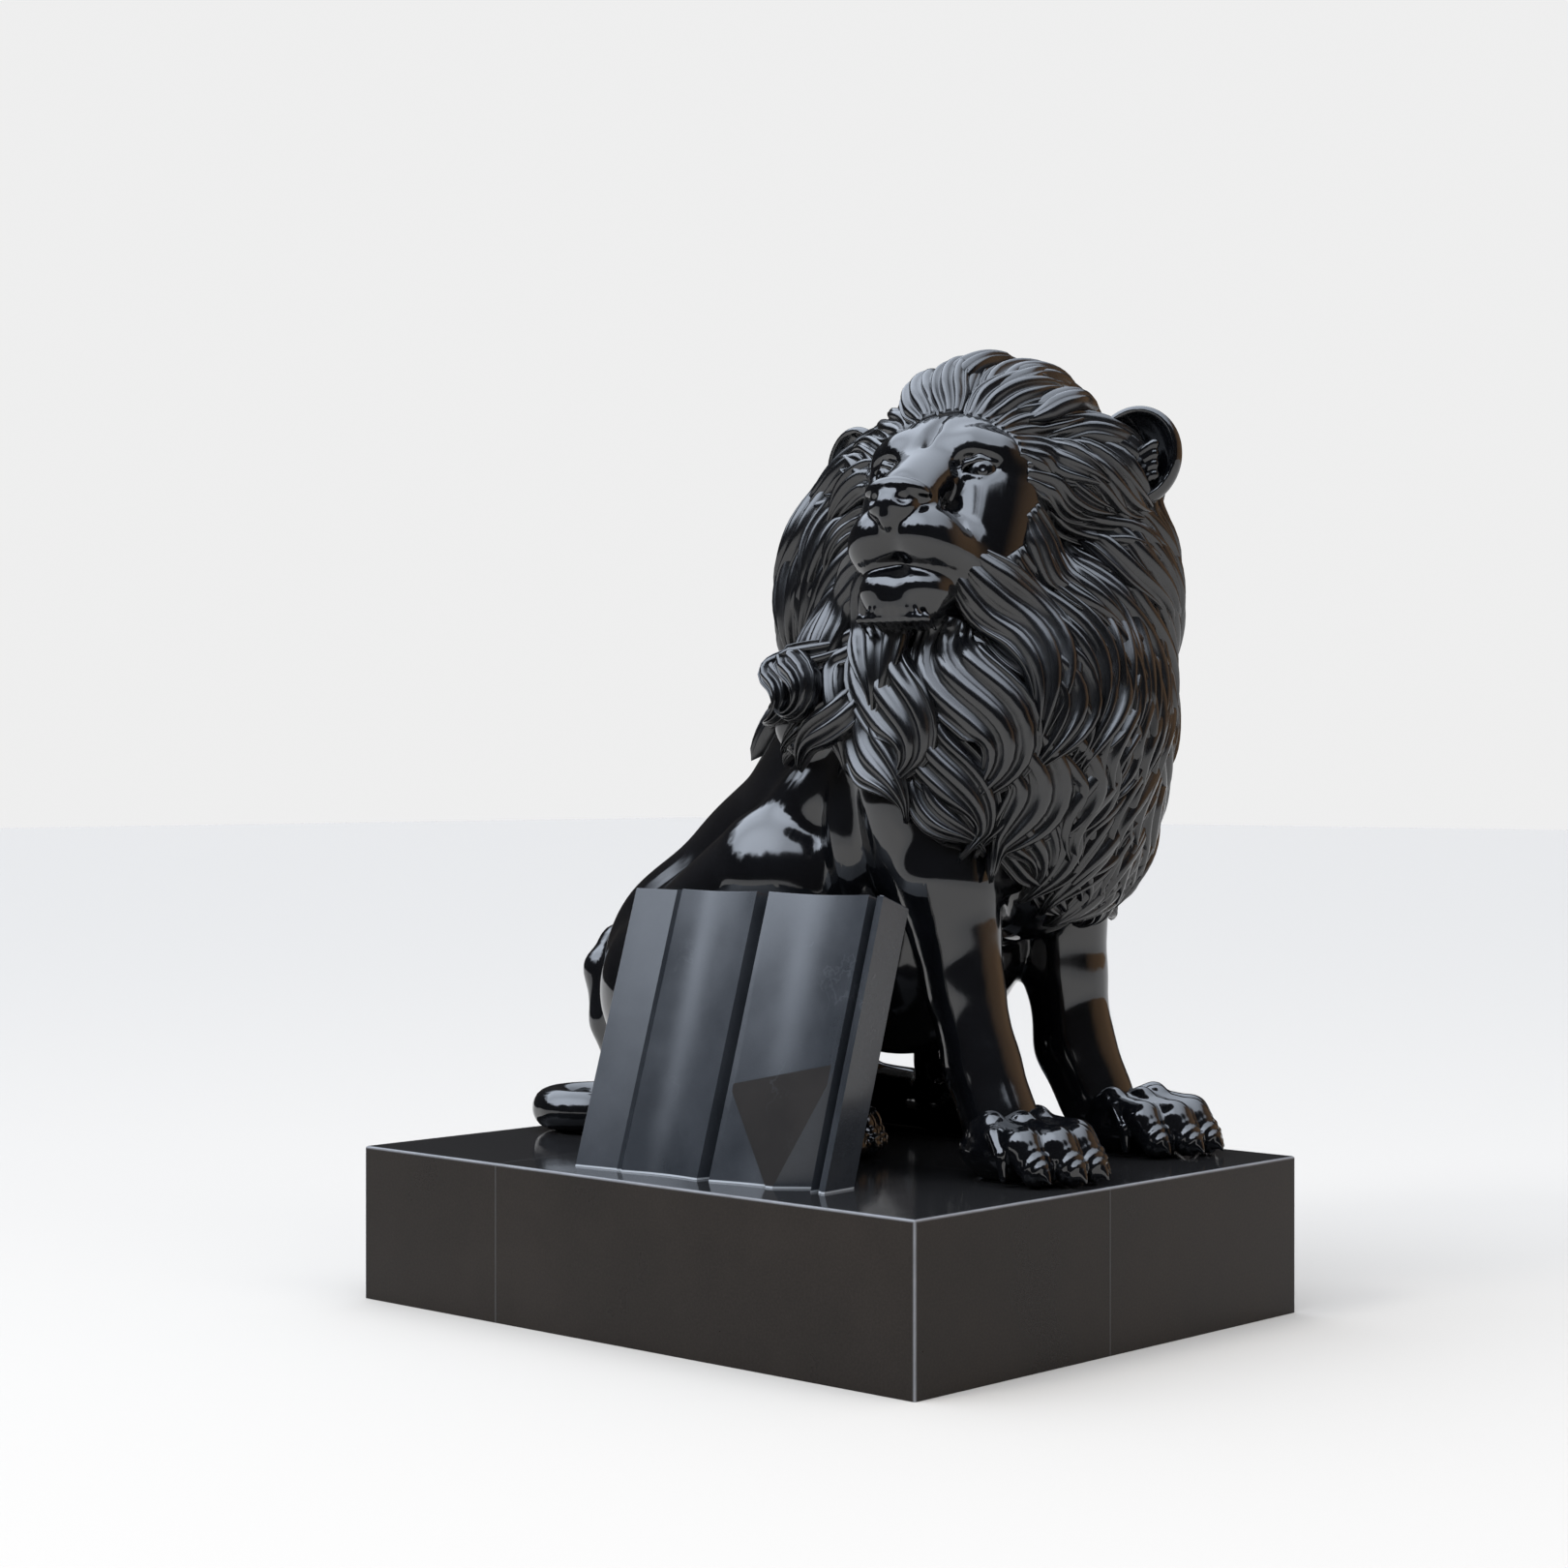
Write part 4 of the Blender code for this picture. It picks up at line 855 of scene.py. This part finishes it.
def panel_outline():
    """Section of the slab: x along its width from the rear, y into its thickness. From the rear a flat
    with a shallow dip, a bead and a step, a hollow flute, a groove, a second flute, a groove, the arris."""

    def flute(start, end, deep, count=33):
        share = np.linspace(0, 1, count)
        depth = deep * np.sin(math.pi * share)
        return [(start + (end - start) * t, d) for t, d in zip(share, depth)]

    points = [(x, STEP_DEPTH * (0.5 + 0.5 * x / FIRST_STEP)) for x in np.linspace(0.002, FIRST_STEP, 4)]
    points += [(FIRST_STEP + 0.006, 0.35 * STEP_DEPTH), (FIRST_STEP + 0.014, 0.8 * STEP_DEPTH)]
    points += flute(FIRST_STEP + 0.026, FIRST_GROOVE - 0.010, 0.75 * FLUTE_DEPTH)
    points += [(FIRST_GROOVE, GROOVE_DEPTH), (FIRST_GROOVE + GROOVE_WIDTH / 2, GROOVE_DEPTH)]
    points += flute(FIRST_GROOVE + GROOVE_WIDTH, LAST_GROOVE, FLUTE_DEPTH)
    points += [(LAST_GROOVE + 0.004, GROOVE_DEPTH), (LAST_GROOVE + 0.014, GROOVE_DEPTH)]
    points += [(LAST_GROOVE + 0.018, 0.010), (LAST_GROOVE + 0.028, 0.008), (PANEL_WIDTH - 0.008, 0.0)]
    points += [(PANEL_WIDTH, 0.004), (PANEL_WIDTH, PANEL_THICKNESS - 0.002)]
    points += [(PANEL_WIDTH - 0.002, PANEL_THICKNESS), (0.002, PANEL_THICKNESS), (0, PANEL_THICKNESS - 0.002)]
    return points + [(0, STEP_DEPTH * 0.5 + 0.002)]


def solid(name, points, faces=None):
    """A helper body from points and faces, or the convex body around the points."""
    made = bmesh.new()
    corners = [made.verts.new(point) for point in points]
    if faces:
        for face in faces:
            made.faces.new([corners[i] for i in face])
    else:
        bmesh.ops.convex_hull(made, input=made.verts)
    bmesh.ops.recalc_face_normals(made, faces=made.faces)
    mesh = bpy.data.meshes.new(name)
    made.to_mesh(mesh)
    made.free()
    obj = bpy.data.objects.new(name, mesh)
    bpy.context.scene.collection.objects.link(obj)
    return obj


def carve(obj, tools):
    """Applies exact Booleans in turn and removes their helper bodies."""
    for tool, operation in tools:
        cut = obj.modifiers.new(tool.name, "BOOLEAN")
        cut.object = tool
        cut.operation = operation
        cut.solver = "EXACT"
    graph = bpy.context.evaluated_depsgraph_get()
    mesh = bpy.data.meshes.new_from_object(obj.evaluated_get(graph))
    obj.modifiers.clear()
    obj.data = mesh
    for tool, _ in tools:
        bpy.data.objects.remove(tool)


outline = panel_outline()
count = len(outline)
rows = [(x, y, FOOT) for x, y in outline] + [(x, y, PANEL_HEIGHT - 0.002) for x, y in outline]
middle = np.array([PANEL_WIDTH / 2, PANEL_THICKNESS / 2])
rows += [(*(middle + (np.array(p) - middle) * (1 - 0.004)), PANEL_HEIGHT) for p in outline]
faces = [list(range(count))[::-1], [2 * count + i for i in range(count)]]
for level in (0, count):
    sides = [(level + i, level + (i + 1) % count) for i in range(count)]
    faces += [[low, after, after + count, low + count] for low, after in sides]
panel = solid("fluted_panel_face", rows, faces)
left = FIRST_GROOVE + GROOVE_WIDTH
right = LAST_GROOVE
web = [(x, WEB_FACE, z) for x, z in ((left, 0.240), (right, 0.310), (left + 0.19, -0.02), (right, -0.02))]
web += [(x, y + 0.04, z) for x, y, z in web]
notch = [(right + 0.002, -0.004, 0.315), (left + 0.185, -0.004, 0.0), (left + 0.185, -0.004, -0.08)]
notch += [(right - 0.035, NOTCH_DEPTH, 0.0), (right - 0.035, NOTCH_DEPTH, -0.08)]
notch += [(right + 0.004, -0.004, -0.08), (right + 0.004, -0.004, 0.0)]
lean = turn((0, 0, PANEL_TURN)) @ turn((-PANEL_LEAN, 0, 0))
under = [(x, y, z) for x in (-2, 2) for y in (-2, 2) for z in (-1, PLINTH_TOP + SEAT)]
under = [tuple(lean.T @ (np.array(p) - PANEL_CORNER)) for p in under]
tools = (("web", web, "UNION"), ("notch", notch, "DIFFERENCE"), ("under", under, "DIFFERENCE"))
carve(panel, [(solid(name, points), operation) for name, points, operation in tools])
places = np.array([v.co for v in panel.data.vertices])
panel.data.vertices.foreach_set("co", (places @ lean.T + PANEL_CORNER).ravel())
panel.data.update()
# The second finish is the slab's own granite painted darker and browner for the web's face: a painted
# reflection of the dark ground.
for name, base, light, rough, ior in (
        ("panel_blue_granite", (0.016, 0.018, 0.021, 1), (0.034, 0.037, 0.042, 1), 0.17, 1.55),
        ("panel_web_painted_dark_reflection", (0.010, 0.0085, 0.0075, 1), (0.020, 0.017, 0.015, 1), 0.42, 1.2)):
    panel.data.materials.append(panel_granite(name, base, light, rough, ior))
face_way = lean @ np.array([0, -1.0, 0])
for polygon in panel.data.polygons:
    polygon.use_smooth = True
    spot = lean.T @ (np.array(polygon.center) - PANEL_CORNER)
    # The web's front face takes the painted dark reflection.
    if abs(spot[1] - WEB_FACE) < 1e-4 and np.array(polygon.normal) @ face_way > 0.999:
        polygon.material_index = 1
panel.data.set_sharp_from_angle(angle=math.radians(24))
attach(panel, "root")
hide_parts("fluted_panel")


# Plinth
# Three sawn blocks of dark granite set tight on a level bed. The top is polished, the sides are honed and
# a little cloudy, and a pale painted highlight runs along the arrises.
HALF_WIDTH = 0.75
HALF_LENGTH = 0.95
CROSS_JOINT = 0.433
FRONT_JOINT = -0.038


def plinth_granite():
    """Honed brown-black granite, polished on top, pale along the joints, and with a painted highlight along
    the arris.
    """
    mat, shader, nodes, place = new_finish("plinth_honed_granite", ior=1.33, level=0.35)
    x, y, z = [place.node("SeparateXYZ", {}, {"Vector": place}, axis) for axis in range(3)]
    cloud = noise(nodes, place, 2.2, 5.0, 0.6)
    grain = noise(nodes, place, 160.0, 3.0, 0.7)
    colour = (cloud.step(0.3, 0.75) * 0.55 + grain.step(0.35, 0.7) * 0.45).tint(
        (0.0095, 0.0072, 0.0058, 1), (0.0225, 0.0175, 0.0140, 1))
    top = z.step(PLINTH_TOP - 0.002, PLINTH_TOP - 0.0002)
    colour = top.tint(colour, (0.012, 0.0118, 0.012, 1))
    # Masks of the arrises and the vertical corners, where a pale painted highlight goes, broken up by noise.
    side = abs(x).step(HALF_WIDTH - 0.008, HALF_WIDTH - 0.001)
    end = abs(y).step(HALF_LENGTH - 0.008, HALF_LENGTH - 0.001)
    high = z.step(PLINTH_TOP - 0.008, PLINTH_TOP - 0.0015)
    arris = side.math("MINIMUM", side.math("MAXIMUM", side, end), high) * (1 - top * 0.3)
    corner = side.math("MINIMUM", side, end)
    edge = side.math("MAXIMUM", arris, corner) * (noise(nodes, place, 14.0, 3.0) * 0.5 + 0.4)
    # Painted highlight: the arrises and corners are tinted pale.
    colour = edge.tint(colour, (0.30, 0.30, 0.31, 1))
    across = 1 - abs(y - CROSS_JOINT).step(0.0004, 0.0016)
    along = 1 - abs(x - FRONT_JOINT).step(0.0004, 0.0016)
    joint = across + along * (1 - y.step(CROSS_JOINT - 0.001, CROSS_JOINT + 0.0005))
    colour = (joint * 0.5).tint(colour, (0.16, 0.16, 0.16, 1))
    feed(shader, "Base Color", colour)
    feed(shader, "Roughness", (1 - top) * (cloud.step(0.3, 0.75) * 0.12 + 0.26) + top * 0.09 + edge * 0.1)
    feed(shader, "Normal", waves(nodes, place, 5.0, 0.0008, grain, 0.00006))
    return mat


plinth = plinth_granite()
for node in ("plinth_rear_block", "plinth_right_block", "plinth_left_block"):
    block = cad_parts[node]
    block.data.materials.clear()
    block.data.materials.append(plinth)


# Floor and light
# A plain pale studio floor and a cold bright sky over a dark ragged horizon, which the polish mirrors,
# with a warm patch low ahead on the lion's left. A soft box hangs high on its right and a wider, weaker
# one ahead.
FLOOR_REACH = 60.0
FLOOR_DROP = 0.0005
SKY_HEART = (-0.72, 0.15, 0.68)
WARM_PATCH = (0.80, -0.60, 0.05)
DARK_GROUND = (0.030, 0.028, 0.027, 1)
COLD_SKY = (4.6, 5.1, 5.9, 1)
WARM_SKY = (1.0, 0.62, 0.34, 1)
BACKDROP = (0.86, 0.86, 0.86, 1)
AIM = Vector((0, 0, 1.2))
corners = [(x * FLOOR_REACH, y * FLOOR_REACH, -FLOOR_DROP) for x, y in ((-1, -1), (1, -1), (1, 1), (-1, 1))]
floor = solid("studio_floor", corners, [(0, 1, 2, 3)])
pale, shader, _, _ = new_finish("pale_floor", roughness=0.9, level=0.2)
shader.inputs["Base Color"].default_value = (0.405, 0.372, 0.330, 1)
floor.data.materials.append(pale)
sky = bpy.data.worlds.new("overhead_light")
sky.use_nodes = True
nodes = Shade(sky.node_tree)
direction = nodes.node("TexCoord", out="Generated")
rise = nodes.node("SeparateXYZ", {}, {"Vector": direction}, 2)
seen = nodes.node("LightPath", out="Is Camera Ray")
toward = nodes.node("VectorMath", {"operation": "DOT_PRODUCT"}, {0: direction, 1: SKY_HEART}, 1)
beside = nodes.node("SeparateXYZ", {}, {"Vector": direction}, 1)
edge = rise - noise(nodes, direction, 2.6, 5.0, 0.55) * 0.5 + beside.step(-0.3, 0.5) * 0.16 - 0.31
bright = edge.step(0.02, 0.14) * (toward.step(-0.3, 0.7) * 0.45 + toward.step(0.72, 0.99) * 0.35 + 0.20)
glow = bright.tint(DARK_GROUND, COLD_SKY)
warm = nodes.node("VectorMath", {"operation": "DOT_PRODUCT"}, {0: direction, 1: WARM_PATCH}, 1)
glow = (warm.step(0.6, 0.98) * 0.45).tint(glow, WARM_SKY)
glow = seen.tint(glow, BACKDROP)
sky.node_tree.links.new(glow.socket, sky.node_tree.nodes["Background"].inputs["Color"])
bpy.context.scene.world = sky
bpy.context.scene.view_settings.view_transform = "Standard"
for name, spot, size, power in (("soft_box", (-9, 1, 9), 3.0, 500), ("fill_box", (1, -9, 8), 5.0, 300)):
    light = bpy.data.objects.new(name, bpy.data.lights.new(name, "AREA"))
    light.data.shape = "DISK"
    light.data.size = size
    light.data.energy = power
    light.location = spot
    light.visible_glossy = False
    light.rotation_euler = (AIM - Vector(spot)).to_track_quat("-Z", "Y").to_euler()
    bpy.context.scene.collection.objects.link(light)
